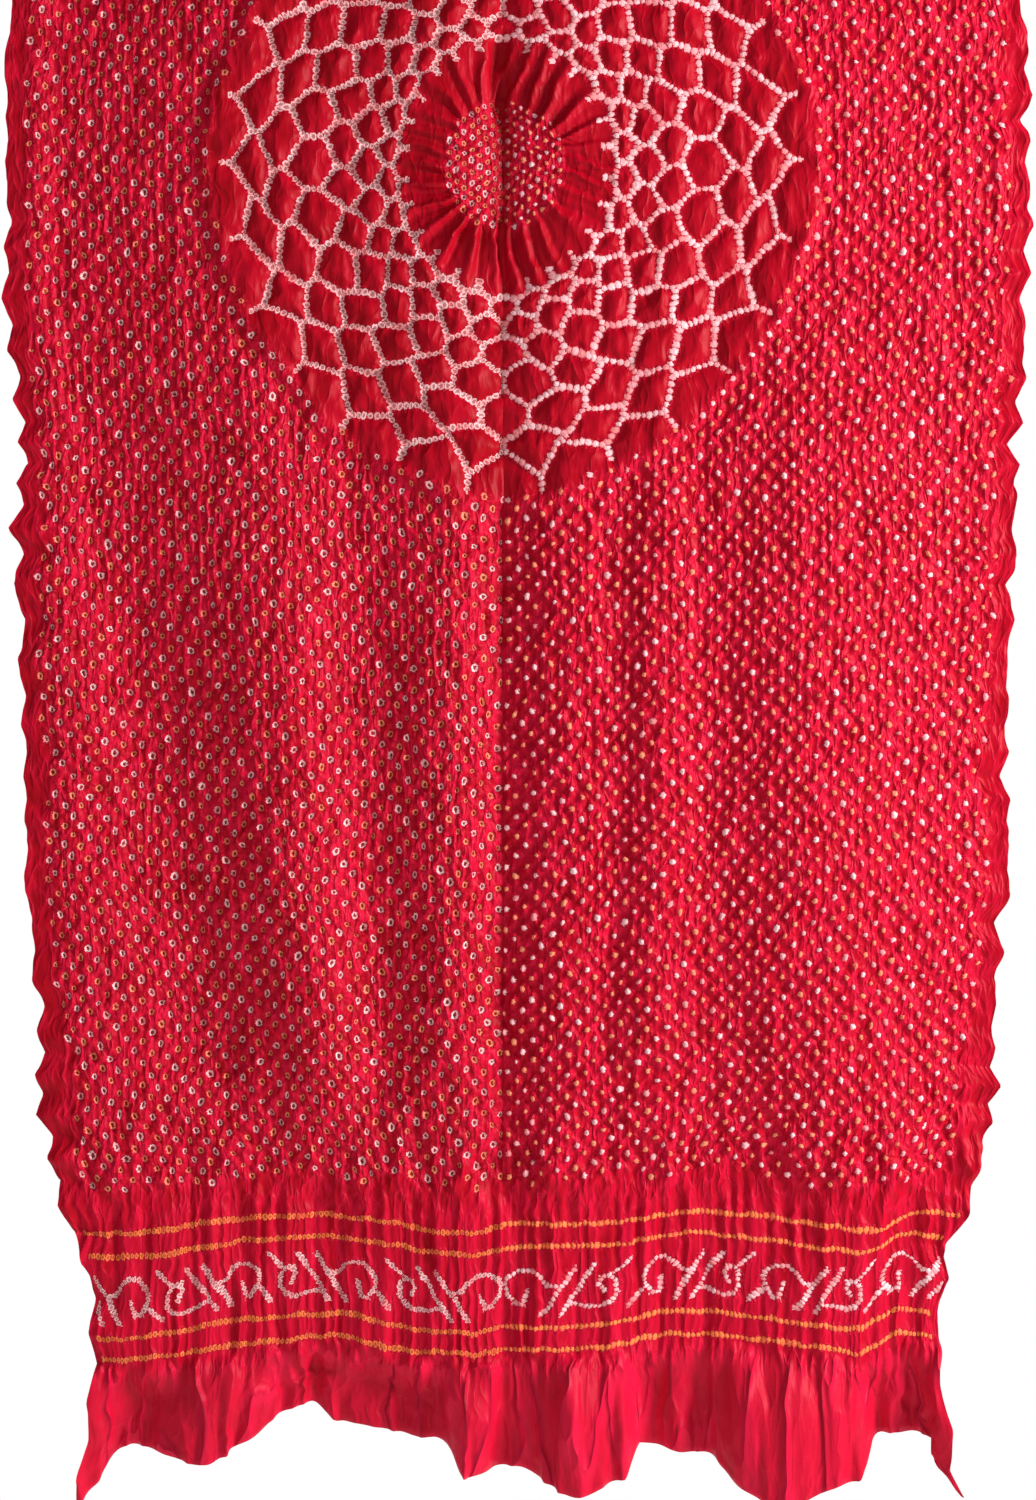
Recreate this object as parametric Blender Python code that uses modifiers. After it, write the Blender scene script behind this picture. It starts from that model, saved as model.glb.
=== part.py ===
"""A bandhani dupatta, tied and dyed, hanging by its top edge.

One piece of cloth: a sheet that falls in long soft folds on either side of a creased middle,
drawn in where the border is tied, and ruffled below it, where the plain end was never tied.
The X axis runs across the cloth and -Y points away from its back, towards whoever faces it.
The origin is the middle of the top edge, so the cloth hangs below it along -Z.
"""

from collections import namedtuple

import bpy
import numpy as np

# Driving sizes, in metres
LENGTH = 2.18  # from the top edge to the mean line of the hem, as it hangs
THICKNESS = 0.0018

# Places along the cloth, measured from its middle towards either end
FIELD_END = 0.70
BORDER_START = 0.90
BORDER_END = 1.002
RUFFLE_FULL = 1.045  # where the ruffles of the untied end have opened
HEM = LENGTH / 2

# The scallops that the ties pull into the two long edges
SCALLOP_PITCH = 0.0436
SCALLOP_DEPTH = 0.0046
SHALLOWEST = 0.25  # the shallowest scallop, as a share of the deepest
EDGE_RIPPLE = 0.003  # how far the free edges wave to and fro
EDGE_STRIP = 0.06  # the untied strip along each edge, as a share of the half width
UNEVEN_LENGTH = 0.23  # from one run of deep scallops to the next
UNEVEN_APART = 0.37  # the length over which the two edges' runs come back into step

# The crease near the middle, where the cloth was folded in two to be tied: its place across, and
# how deep and how wide it is
CREASE_PLACE = -0.0125
CREASE_DEPTH = 0.007
CREASE_WIDTH = 0.014

# The untied halo and medallion stand out a little from the tied field
MEDALLION_RISE = 0.008
MEDALLION_RADIUS = 0.26

# The folds are calm round the middle and stand at their full height further out
CALMEST = 0.35
CALM_TO, RIPPLED_FROM = 0.08, 0.50

# At the top edge the folds are mostly drawn flat, from this far above the middle
TOP_FLATTENING = 0.55
FLATTENING_FROM = 0.3

# Between these distances below the middle the cloth comes to hang freely, and then sags unevenly
FREE_FROM, FREE_FULL = -0.2, 0.5

ROWS_PER_SCALLOP = 2
WIDEST_COLUMN = 0.10  # as a share of the half width

CLOTH_RED = (0.47, 0.006, 0.022, 1.0)

Swell = namedtuple("Swell", "length share")
Width = namedtuple("Width", "distance half_width")
LongFold = namedtuple("LongFold", "across lean forward")
Fold = namedtuple("Fold", "across forward drop")

# The scallops come closer and part again over these lengths, by these shares of a scallop
SCALLOP_SWELLS = (Swell(0.61, 0.35), Swell(0.27, 0.20))

# Half the width at each distance from the middle, with the edges hanging free
WIDTHS = (
    Width(0.00, 0.435),
    Width(0.10, 0.434),
    Width(0.19, 0.428),
    Width(0.24, 0.423),
    Width(0.30, 0.426),
    Width(0.39, 0.423),
    Width(0.49, 0.417),
    Width(0.60, 0.419),
    Width(0.70, 0.408),
    Width(0.80, 0.405),
    Width(0.85, 0.392),
    Width(0.89, 0.383),
    Width(0.91, 0.371),
    Width(0.93, 0.362),
    Width(0.99, 0.361),
    Width(1.035, 0.363),
    Width(HEM, 0.375),
)

# Crests and troughs of the long folds in the tied field, from the left edge to the right: the
# place across at LEAN_FROM below the middle, as a share of the half width, how far to the right
# it moves for each metre further down, between LEAN_START and LEAN_END, and how far the cloth
# stands forward there, in metres.
LEAN_START, LEAN_FROM, LEAN_END = 0.10, 0.53, 0.95
FIELD_FOLDS = (
    LongFold(-1.00, 0.00, 0.005),
    LongFold(-0.92, 0.06, 0.007),
    LongFold(-0.72, 0.40, -0.008),
    LongFold(-0.44, 0.22, 0.014),
    LongFold(-0.28, 0.08, -0.003),
    LongFold(-0.11, 0.00, 0.011),
    LongFold(0.00, 0.00, 0.001),
    LongFold(0.14, 0.00, 0.009),
    LongFold(0.22, -0.05, 0.005),
    LongFold(0.30, -0.05, 0.011),
    LongFold(0.41, 0.06, 0.003),
    LongFold(0.58, 0.10, 0.010),
    LongFold(1.00, 0.00, -0.018),
)

# The same for the tied border and for the hem, with how much lower the cloth hangs there
BORDER_FOLDS = (
    Fold(-1.00, 0.002, 0.009),
    Fold(-0.92, 0.005, 0.010),
    Fold(-0.47, -0.005, -0.007),
    Fold(-0.09, 0.005, 0.007),
    Fold(0.02, -0.002, 0.001),
    Fold(0.10, 0.004, 0.003),
    Fold(0.46, -0.006, -0.010),
    Fold(0.80, 0.005, 0.005),
    Fold(0.91, -0.005, -0.010),
    Fold(1.00, -0.003, -0.006),
)
HEM_FOLDS = (
    Fold(-1.00, 0.010, 0.041),
    Fold(-0.875, -0.014, -0.004),
    Fold(-0.70, 0.019, 0.008),
    Fold(-0.455, -0.019, -0.039),
    Fold(-0.388, -0.020, -0.022),
    Fold(-0.165, -0.012, -0.010),
    Fold(-0.09, 0.020, 0.019),
    Fold(0.00, -0.003, 0.012),
    Fold(0.165, 0.021, 0.034),
    Fold(0.26, 0.009, 0.022),
    Fold(0.30, -0.017, -0.005),
    Fold(0.425, -0.014, 0.003),
    Fold(0.60, 0.022, 0.041),
    Fold(0.775, 0.013, 0.022),
    Fold(0.835, -0.014, -0.014),
    Fold(0.91, -0.012, -0.014),
    Fold(1.00, 0.009, 0.036),
)


def ease(value, start, end):
    """0 before start, 1 after end, and an S-curve between them."""
    share = np.clip((value - start) / (end - start), 0.0, 1.0)
    return share * share * (3.0 - 2.0 * share)


def through_folds(across, places, levels):
    """The level at each place across, eased from each crest to the next trough."""
    result = levels[0] + 0.0 * across
    for left, right, rise in zip(places[:-1], places[1:], np.diff(levels)):
        result = result + rise * ease(across, left, right)
    return result


def through_table(across, folds, column):
    """One column of the border's or the hem's table at each place across."""
    return through_folds(across, [fold.across for fold in folds], [getattr(fold, column) for fold in folds])


def through_field(across, below_middle):
    """How far the field stands forward: its long folds lean to the right on their way down."""
    run = np.clip(below_middle, LEAN_START, LEAN_END) - LEAN_FROM
    places = [fold.across + fold.lean * run for fold in FIELD_FOLDS]
    return through_folds(across, places, [fold.forward for fold in FIELD_FOLDS])


def scallops_passed(down):
    """How many scallops lie above this point of an edge: the pitch swells and shrinks by turns."""
    swells = [swell.share * np.sin(2.0 * np.pi * down / swell.length) for swell in SCALLOP_SWELLS]
    return down / SCALLOP_PITCH + sum(swells)


def cloth_surface(across, down):
    """The middle of the sheet, as X, Y and Z arrays.

    across runs from -1 at the left edge to 1 at the right, and down is the distance from the top
    edge. The folds of the field, the border and the hem are three tables, each blended into the
    next by how far down the point lies.
    """
    below_middle = down - LENGTH / 2
    distance = np.abs(below_middle)
    lower = ease(below_middle, FREE_FROM, FREE_FULL)

    half_width = np.interp(
        distance, [width.distance for width in WIDTHS], [width.half_width for width in WIDTHS]
    )
    uneven = 0.5 + 0.5 * np.sin(2.0 * np.pi * (down / UNEVEN_LENGTH + np.sign(across) * down / UNEVEN_APART))
    turn = 2.0 * np.abs(2.0 * (scallops_passed(down) % 1.0) - 1.0) - 1.0
    scallop = turn * np.sign(across) * (SHALLOWEST + (1.0 - SHALLOWEST) * uneven)
    at_edge = ease(np.abs(across), 1.0 - 2.0 * EDGE_STRIP, 1.0)
    x = across * half_width + CREASE_PLACE * (1.0 - np.abs(across))
    x = x + np.sign(across) * at_edge * SCALLOP_DEPTH * scallop

    border = ease(distance, FIELD_END, BORDER_START)
    ruffle = ease(distance, BORDER_END, RUFFLE_FULL)
    calm = CALMEST + (1.0 - CALMEST) * ease(distance, CALM_TO, RIPPLED_FROM)
    sag = ease(distance, BORDER_END, HEM)
    strength = lower + (1.0 - lower) * (1.0 - TOP_FLATTENING * ease(distance, FLATTENING_FROM, HEM))
    forward = (
        (1.0 - border) * calm * through_field(across, below_middle)
        + border * (1.0 - ruffle) * through_table(across, BORDER_FOLDS, "forward")
        + ruffle * through_table(across, HEM_FOLDS, "forward")
    )
    crease = CREASE_DEPTH * np.exp(-np.abs(across * half_width) / CREASE_WIDTH)
    forward = strength * (forward - crease * (1.0 - border))
    forward = forward + MEDALLION_RISE * np.exp(
        -((x / MEDALLION_RADIUS) ** 2 + (below_middle / MEDALLION_RADIUS) ** 2) * 2.0
    )
    forward = forward + at_edge * EDGE_RIPPLE * scallop

    drop = lower * (
        border * (1.0 - sag) * through_table(across, BORDER_FOLDS, "drop")
        + sag * through_table(across, HEM_FOLDS, "drop")
    )
    return x, -forward, -down - drop


def columns():
    """The places across at which the sheet has an edge: every fold of the hem, and between them."""
    places = [fold.across for fold in HEM_FOLDS]
    filled = []
    for left, right in zip(places[:-1], places[1:]):
        count = int(np.ceil((right - left) / WIDEST_COLUMN - 1e-6))
        filled.extend(np.linspace(left, right, count, endpoint=False))
    return np.array(filled + [places[-1]])


def rows():
    """The distances down at which the sheet has an edge: each outward and inward turn of a scallop."""
    fine = np.linspace(0.0, LENGTH, 2001)
    passed = scallops_passed(fine)
    first = np.ceil(passed[0] * ROWS_PER_SCALLOP + 0.5) / ROWS_PER_SCALLOP
    steps = np.arange(first, passed[-1] - 0.5 / ROWS_PER_SCALLOP, 1.0 / ROWS_PER_SCALLOP)
    return np.concatenate([[0.0], np.interp(steps, passed, fine), [LENGTH]])


def cloth_material():
    """Thin, crinkled, red-dyed cloth with a soft sheen."""
    material = bpy.data.materials.new("red_dyed_cloth")
    material.use_nodes = True
    shader = material.node_tree.nodes["Principled BSDF"]
    shader.inputs["Base Color"].default_value = CLOTH_RED
    shader.inputs["Roughness"].default_value = 0.55
    shader.inputs["Metallic"].default_value = 0.0
    shader.inputs["Sheen Weight"].default_value = 0.25
    return material


def make_cloth(collection):
    """The whole cloth, hemmed ends and all: an open surface that Solidify gives its thickness."""
    across, down = np.meshgrid(columns(), rows())
    points = np.stack(cloth_surface(across, down), axis=-1).reshape(-1, 3)
    high, wide = across.shape
    first = (np.arange(high - 1)[:, None] * wide + np.arange(wide - 1)).ravel()
    faces = np.stack([first, first + wide, first + wide + 1, first + 1], axis=-1)

    mesh = bpy.data.meshes.new("cloth")
    mesh.from_pydata(points.tolist(), [], faces.tolist())
    mesh.materials.append(cloth_material())
    mesh.shade_smooth()
    cloth = bpy.data.objects.new("cloth", mesh)
    collection.objects.link(cloth)

    solidify = cloth.modifiers.new("thickness", "SOLIDIFY")
    solidify.thickness = THICKNESS
    solidify.offset = 0.0
    return cloth


def main():
    for leftover in list(bpy.data.objects):
        bpy.data.objects.remove(leftover, do_unlink=True)
    collection = bpy.data.collections.new("bandhani_dupatta")
    bpy.context.scene.collection.children.link(collection)
    make_cloth(collection)


main()
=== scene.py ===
"""The looks of a bandhani dupatta: a tied and dyed red cloth that hangs by its top edge.

The cloth is one grid of points laid on the folds of the CAD solid. Every tied dot, chain of
dots and pucker is worked out on that grid, which is then cut into panels. The X axis runs
across the cloth, -Y points to whoever faces it, and it hangs along -Z from its top edge.
"""

import functools
import math
from collections import namedtuple

import bpy
import numpy as np
from bpy.props import FloatProperty, FloatVectorProperty, IntProperty, PointerProperty
from bpy.types import Operator, Panel, PropertyGroup
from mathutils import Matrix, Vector


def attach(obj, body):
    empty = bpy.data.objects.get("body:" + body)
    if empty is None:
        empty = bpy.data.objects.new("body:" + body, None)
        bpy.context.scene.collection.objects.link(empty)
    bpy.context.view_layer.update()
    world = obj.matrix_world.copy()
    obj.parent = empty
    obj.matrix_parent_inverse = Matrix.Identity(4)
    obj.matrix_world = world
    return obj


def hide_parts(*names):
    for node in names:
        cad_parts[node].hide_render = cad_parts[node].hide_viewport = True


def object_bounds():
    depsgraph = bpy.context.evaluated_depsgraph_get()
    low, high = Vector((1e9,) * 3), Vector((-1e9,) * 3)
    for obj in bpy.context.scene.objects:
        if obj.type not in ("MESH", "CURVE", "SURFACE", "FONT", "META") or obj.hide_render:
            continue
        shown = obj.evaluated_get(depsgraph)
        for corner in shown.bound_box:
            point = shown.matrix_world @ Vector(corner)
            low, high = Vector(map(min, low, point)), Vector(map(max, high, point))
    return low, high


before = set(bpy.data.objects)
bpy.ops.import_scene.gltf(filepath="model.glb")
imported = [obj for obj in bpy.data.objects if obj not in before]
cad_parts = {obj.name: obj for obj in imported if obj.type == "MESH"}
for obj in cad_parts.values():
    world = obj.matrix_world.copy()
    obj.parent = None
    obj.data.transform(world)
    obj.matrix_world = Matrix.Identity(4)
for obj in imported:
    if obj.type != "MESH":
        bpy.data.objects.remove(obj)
CAD_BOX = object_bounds()

bl_info = {
    "name": "Bandhani dupatta",
    "version": (1, 0, 0),
    "blender": (4, 5, 0),
    "location": "View3D > Sidebar > Bandhani",
    "description": "Builds a tied and dyed cloth, dot by dot, on the folds of its solid",
    "category": "Add Mesh",
}

# The solid's own sizes, in metres: the cloth is laid on the same folds
LENGTH = 2.18
MIDDLE = LENGTH / 2
FIELD_END = 0.70
BORDER_START = 0.90
BORDER_END = 1.002
RUFFLE_FULL = 1.045
SCALLOP_PITCH = 0.0436
SCALLOP_DEPTH = 0.0046
SHALLOWEST = 0.25
EDGE_RIPPLE = 0.003
EDGE_STRIP = 0.06
UNEVEN_LENGTH = 0.23
UNEVEN_APART = 0.37
CREASE_PLACE = -0.0125
CREASE_DEPTH = 0.007
CREASE_WIDTH = 0.014
MEDALLION_RISE = 0.008
MEDALLION_RADIUS = 0.26
CALMEST = 0.35
CALM_TO, RIPPLED_FROM = 0.08, 0.50
TOP_FLATTENING = 0.55
FLATTENING_FROM = 0.3
FREE_FROM, FREE_FULL = -0.2, 0.5
LEAN_START, LEAN_FROM, LEAN_END = 0.10, 0.53, 0.95

Swell = namedtuple("Swell", "length share")
Width = namedtuple("Width", "distance half_width")
LongFold = namedtuple("LongFold", "across lean forward")
Fold = namedtuple("Fold", "across forward drop")

SCALLOP_SWELLS = (Swell(0.61, 0.35), Swell(0.27, 0.20))
WIDTHS = (
    Width(0.00, 0.435),
    Width(0.10, 0.434),
    Width(0.19, 0.428),
    Width(0.24, 0.423),
    Width(0.30, 0.426),
    Width(0.39, 0.423),
    Width(0.49, 0.417),
    Width(0.60, 0.419),
    Width(0.70, 0.408),
    Width(0.80, 0.405),
    Width(0.85, 0.392),
    Width(0.89, 0.383),
    Width(0.91, 0.371),
    Width(0.93, 0.362),
    Width(0.99, 0.361),
    Width(1.035, 0.363),
    Width(MIDDLE, 0.375),
)
FIELD_FOLDS = (
    LongFold(-1.00, 0.00, 0.005),
    LongFold(-0.92, 0.06, 0.007),
    LongFold(-0.72, 0.40, -0.008),
    LongFold(-0.44, 0.22, 0.014),
    LongFold(-0.28, 0.08, -0.003),
    LongFold(-0.11, 0.00, 0.011),
    LongFold(0.00, 0.00, 0.001),
    LongFold(0.14, 0.00, 0.009),
    LongFold(0.22, -0.05, 0.005),
    LongFold(0.30, -0.05, 0.011),
    LongFold(0.41, 0.06, 0.003),
    LongFold(0.58, 0.10, 0.010),
    LongFold(1.00, 0.00, -0.018),
)
BORDER_FOLDS = (
    Fold(-1.00, 0.002, 0.009),
    Fold(-0.92, 0.005, 0.010),
    Fold(-0.47, -0.005, -0.007),
    Fold(-0.09, 0.005, 0.007),
    Fold(0.02, -0.002, 0.001),
    Fold(0.10, 0.004, 0.003),
    Fold(0.46, -0.006, -0.010),
    Fold(0.80, 0.005, 0.005),
    Fold(0.91, -0.005, -0.010),
    Fold(1.00, -0.003, -0.006),
)
HEM_FOLDS = (
    Fold(-1.00, 0.010, 0.041),
    Fold(-0.875, -0.014, -0.004),
    Fold(-0.70, 0.019, 0.008),
    Fold(-0.455, -0.019, -0.039),
    Fold(-0.388, -0.020, -0.022),
    Fold(-0.165, -0.012, -0.010),
    Fold(-0.09, 0.020, 0.019),
    Fold(0.00, -0.003, 0.012),
    Fold(0.165, 0.021, 0.034),
    Fold(0.26, 0.009, 0.022),
    Fold(0.30, -0.017, -0.005),
    Fold(0.425, -0.014, 0.003),
    Fold(0.60, 0.022, 0.041),
    Fold(0.775, 0.013, 0.022),
    Fold(0.835, -0.014, -0.014),
    Fold(0.91, -0.012, -0.014),
    Fold(1.00, 0.009, 0.036),
)

# The grid of the cloth: each tied dot of the field has four columns and seven rows of it
DOT_COLUMNS = 56  # in each half
MESH_PER_DOT = 4
ROWS_PER_DIAGONAL = 7
ROWS_PER_STEP = 4  # how far a diagonal climbs from one column of dots to the next
HALF_COLUMNS = DOT_COLUMNS * MESH_PER_DOT
GRID_ROWS = 874
ROW = LENGTH / GRID_ROWS

# Rows of the grid at which the cloth is cut into panels, from the top edge down
CUTS = (0, 84, 261, 437, 613, 790, GRID_ROWS)

# The medallion, in metres: half its width and half its height at each of its lines
Ring = namedtuple("Ring", "half_width half_height")
DOTTED_OVAL = Ring(0.049, 0.056)
DOTTED_COLUMN, DOTTED_STEP, DOTTED_DIAGONAL = 0.0060, 0.0056, 0.0094  # metres
DOTTED_SHARE = 0.82  # how wide its dots are, as a share of the field's
NET_RINGS = (
    Ring(0.095, 0.112),
    Ring(0.111, 0.129),
    Ring(0.130, 0.150),
    Ring(0.153, 0.174),
    Ring(0.182, 0.201),
    Ring(0.207, 0.228),
    Ring(0.230, 0.253),
)
NET_CELLS = 26
HALO = Ring(0.258, 0.280)
HALO_SQUARENESS = 1.80
NET_SPIKE, INNER_SPIKE = 0.007, 0.006
ZIGZAG_SHARE, LAST_ZIGZAG = 0.27, 0.0095  # share of the way to the next ring, and metres at the last ring
TURN_STRAY, ZIGZAG_STRAY = 0.16, 0.35  # how uneven the cells are
MEDALLION_CENTRE = -0.003

# The border, in metres from the middle of the cloth: four yellow lines, and the vine's middle
YELLOW_LINES = (0.895, 0.914, 0.981, 1.000)
VINE_MIDDLE = 0.949
Motif = namedtuple("Motif", "start share")
VINE_MOTIFS = (Motif(0.0, 1.0), Motif(0.113, 0.88), Motif(0.212, 0.87), Motif(0.308, 0.87))
FIELD_STOP = 0.868

VINE_FLATTENING = 0.92  # how high a repeat is against its chart
STROKE_SHARE = 0.9  # how wide a stroke is against its chart
TAIL_FROM, TAIL_TO = (0.001, 0.008), (-0.008, 0.017)  # small tail at the start of a repeat
TAIL_RADIUS = 0.0026

# One repeat of the vine in millimetres: across from its start, and down from the vine's middle
Stroke = namedtuple("Stroke", "points width")
HOOK = ((19, 4), (17, 13), (11, 14), (4, 5), (2, -3), (4, -10))
VINE_STROKES = (
    Stroke((*HOOK, (13, -17), (23, -18), (31, -13), (38, -5), (46, -3)), 5.0),
    Stroke(((33, 19), (57, -17)), 5.8),
    Stroke(((49, 19), (74, -19)), 5.8),
    Stroke(
        ((58, 13), (66, 15), (79, 18), (88, 15), (93, 8), (93, -3), (88, -9), (82, -9), (79, -3), (82, 3)),
        5.0,
    ),
    Stroke(((92, -11), (102, -21)), 5.2),
)

# The crinkles of each stretch of the cloth, in metres: how high they stand, how wide and how long
# they are, and whether they are sharp crests or soft swells. The number picks their noise.
Crinkle = namedtuple("Crinkle", "height across down sharp number")
FIELD_CRINKLES = (
    Crinkle(0.0013, 0.0062, 0.015, True, 13),
    Crinkle(0.0008, 0.017, 0.035, False, 14),
)
OVAL_CRINKLES = (Crinkle(0.0011, 0.004, 0.006, False, 23),)
NET_CRINKLES = (
    Crinkle(0.0009, 0.009, 0.026, True, 31),
    Crinkle(0.0013, 0.013, 0.018, False, 32),
)
BORDER_CRINKLES = (
    Crinkle(0.0016, 0.0046, 0.090, False, 41),
    Crinkle(0.0016, 0.0110, 0.110, True, 42),
    Crinkle(0.0024, 0.0190, 0.090, False, 43),
)
FAN_CRINKLES = (
    Crinkle(0.0022, 0.011, 0.040, True, 53),
    Crinkle(0.0036, 0.020, 0.060, False, 54),
)
GATHER_CRINKLES = (
    Crinkle(0.0022, 0.008, 0.050, True, 51),
    Crinkle(0.0050, 0.015, 0.080, False, 52),
)
RUFFLES = (
    Crinkle(0.0042, 0.0130, 0.110, True, 55),
    Crinkle(0.0065, 0.0180, 0.150, False, 56),
)
EDGE_CRINKLES = (Crinkle(0.0014, 0.014, 0.010, False, 61),)
OVAL_PLEATS = 27

# How the tied cloth stands out between and round its dots, in metres
KNOB_SPREAD = 0.0019  # how wide a knob is
KNOB_STRETCH = 1.15  # and how much higher than wide
RIDGE_WIDTH, RIDGE_LENGTH = 0.0020, 0.0085
SWELL_ACROSS, SWELL_DOWN = 0.012, 0.022  # how fast the ridges grow and shrink
SWELL_MIDDLE, SWELL_RANGE = 0.75, 0.60
CUSHION_WIDTH = 0.0080  # from a chain to the full height of the cell beside it
CHAIN_RISE, CHAIN_TURN, CHAIN_SPREAD = 0.0004, 0.0012, 0.0028
LINE_RISE, LINE_SPREAD = 0.0008, 0.0022
FAN_MIDDLE, FAN_SPREAD = 0.85, 0.05  # where the cloth fans out above the border
RUFFLES_OPEN = 0.07  # from the last yellow line to where the ruffles are fully open
HEM_ROLL, HEM_ROLL_HEIGHT = 0.004, 0.0016
PLEAT_STRAY, PLEAT_UNEVEN = 0.55, 0.35
PLEAT_OVERTONE, OVERTONE_TURN = 0.45, 1.1  # a weaker second pleat between two, and where it stands
PLEAT_FLATTENING = 0.45  # how much lower the pleats are at the net
PINCH_PLACE, PINCH_WIDTH, PINCH_DEPTH = 0.004, 0.007, 0.006  # the fold above the dotted oval

# How the cloth strays from an even grid, in metres
TIE_WANDER = (0.0085, 0.0095)  # how wide and high the small wanderings of the dots are
ROW_WANDER = (0.05, 0.06)  # and those of whole rows
ROW_WANDER_ACROSS, ROW_WANDER_DOWN = 0.0022, 0.0026
EDGE_WAVE, EDGE_WAVE_LENGTH = 0.0026, 0.034
EDGE_NICK, EDGE_NICK_LENGTH = 0.0014, 0.011
EDGE_INSET = 0.0006
EDGE_ROW = 9.0  # row of the noise that the two side edges read
LINE_WAVE, LINE_WAVE_LENGTH = 0.0016, 0.045
LINE_JOG, LINE_JOG_LENGTH = 0.0006, 0.009
LINE_ROWS = 7.0  # rows of noise from one yellow line to the next
RAGGED_ACROSS, RAGGED_DOWN = 0.018, 0.03  # how wide and high the raggedness of the field's rim is
HALO_RIM, HALO_RAGGED = 0.985, 0.035  # where the dots begin round the halo, as a share of its size
PLAIN_EDGE, PLAIN_EDGE_RAGGED, PLAIN_EDGE_LOWER = 0.010, 0.012, 0.012
FIELD_STOP_RAGGED = 0.016
SHEER_START, SHEER_FULL = 0.004, 0.02  # below the last yellow line
SHEER_WAVER, SHEER_WAVER_LENGTH = 0.004, 0.02

# How finely the cloth is crinkled, from 0 to 1
HALO_CALM, END_CALM, EDGE_CALM = 0.85, 0.80, 0.50

# How far from its chain or line a face still belongs to it, in metres
NET_REACH, VINE_REACH, LINE_REACH = 0.0045, 0.0048, 0.0042
VINE_BAND = 0.027
VINE_INSET, LINE_INSET = 0.004, 0.006  # how far from the edge the vine and the lines end
LONE_PITCH = 0.03  # pitch that is told to a face whose dot stands alone
LINE_DOT_WIDTH, LINE_DOT_HEIGHT = 0.46, 0.0025  # half a dot of the lines: in pitches, and in metres
CHAIN_DOT_WIDTH, CHAIN_DOT_HEIGHT = 0.51, 0.0029  # half a dot of the chains: in pitches, and in metres

YELLOW = 2  # number of the colour of the border's lines: 0 is pale and 1 is orange
CHAIN_HOLLOW, LINE_HOLLOW = 0.75, 0.70  # how dark the middle of a ring is in the chains and the lines
KNOB_SHARE = 0.85  # how wide a knob is, as a share of a ring
ORANGE_SHARE = 0.94  # how wide an orange dot is, as a share of a pale one
LUMP_SHIFT = 0.0028  # how far a dot's outline strays, in metres
CREST_SLOPE = 3.2  # how steeply the fine crests of the cloth fall away
RAYS, RAY_POWER, RAY_REACH = 5.0, 3.0, 3.6  # creases that spread from each dot, and how far, in dots

# The creases and stains that the material paints: how wide and how long their noise is, in metres, how
# detailed it is, and to what power its crests are raised
Stain = namedtuple("Stain", "across down detail power")
LUMPS = Stain(0.0014, 0.0014, 1.0, 1.0)
WRINKLES = Stain(0.0095, 0.024, 1.5, 2.0)
THREADS = Stain(0.012, 0.042, 2.0, 5.0)
CREASES = Stain(0.013, 0.034, 1.5, 3.0)
PLEATS = Stain(0.0075, 0.16, 0.0, 1.5)
PATCHES = Stain(0.022, 0.075, 2.0, 1.0)
END_RUFFLES = Stain(0.030, 0.13, 1.5, 7.0)
WEFT = Stain(0.030, 0.0011, 2.0, 1.0)
GRAIN = Stain(0.0006, 0.0006, 1.0, 1.0)

# A painted dot: from where to where its parts fade in, as shares of its half size
DOT_SMALLEST, DOT_SIZE_RANGE = 0.82, 0.32
DOT_RIM = (1.10, 0.90)
SLIT_SIZE, SLIT_RIM = (0.48, 0.62), (1.15, 0.80)
SPECK_RIM, SPECK_CHANCE = (0.42, 0.18), 0.28
DOT_ROUGHER, GROUND_ROUGHNESS = 0.30, 0.45

# How much deep red is mixed into the ground: painted shade between the crests of its wrinkles, with darker
# patches, both weaker in the right half; painted shade between the pleats of the border; darker slubs and
# mottling in the plain ends; and darker calm cloth, less so in the plain ends. Then how much bright red: a
# painted highlight on the crests of threads, pleats, ruffles and rays, and the plain ends lighter all over
WRINKLE_SHADE, PATCH_DEPTH, PLEAT_SHADE, WEFT_DEPTH, PATCHED_END_DEPTH = 0.45, 0.35, 0.34, 0.25, 0.22
CALM_DEPTH, END_LIGHTER, RIGHT_LIGHTER, GATHERED_CALM = 0.50, 0.44, 0.50, 0.75
THREAD_HIGHLIGHT, PLEAT_HIGHLIGHT, RUFFLE_HIGHLIGHT, RAY_HIGHLIGHT, END_LIGHT = 0.80, 0.50, 0.90, 0.50, 0.40

# How much of each colour is mixed into a dot: a lighter cream on the left half's dots as painted light, where
# the cloth is lit less, then the dyes, and a red rim that is partly dye and partly painted shade
LEFT_PAINTED_LIGHT, FADED, FADED_IN_PATCH = 0.50, 0.45, 0.12
RIM_DYE_AND_SHADE, RING_RIM_LESS, HOLE_DYED, SPECK_DYED = 0.45, 0.35, 0.95, 0.60

# Painted shade down the fold in the middle of the dotted oval, in metres from the crease and from the centre,
# and how much deep red it mixes in
FOLD_LEFT, FOLD_SIDES, FOLD_ENDS, FOLD_PAINTED_SHADE = 0.001, (0.016, 0.001), (0.075, 0.045), 0.70

# How high the bump of each part is, in metres
DOME_BUMP, DOME_FALL, RING_FLATTER, HOLE_BUMP = 0.0010, 0.0005, 0.55, 0.0004
WRINKLE_BUMP, THREAD_BUMP, CREASE_BUMP = 0.0013, 0.0012, 0.0009
PLEAT_BUMP, RUFFLE_BUMP, RAY_BUMP, GRAIN_BUMP = 0.0013, 0.0045, 0.0007, 0.00010

NOWHERE = 0.099  # how far off the dots of a face are said to be when it has none

# The photograph's frame: its size and the medallion's centre in pixels, and a pixel's size at the cloth
PHOTO_HEIGHT, PHOTO_CENTRE = 1500, 170
PIXEL = 0.00085
PICTURE_ACROSS = 0.0
PICTURE_DOWN = MIDDLE + (PHOTO_HEIGHT / 2 - PHOTO_CENTRE) * PIXEL
PICTURE_HEIGHT = PHOTO_HEIGHT * PIXEL
CAMERA_DISTANCE = 2.6
SENSOR_HEIGHT = 36.0  # millimetres

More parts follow.
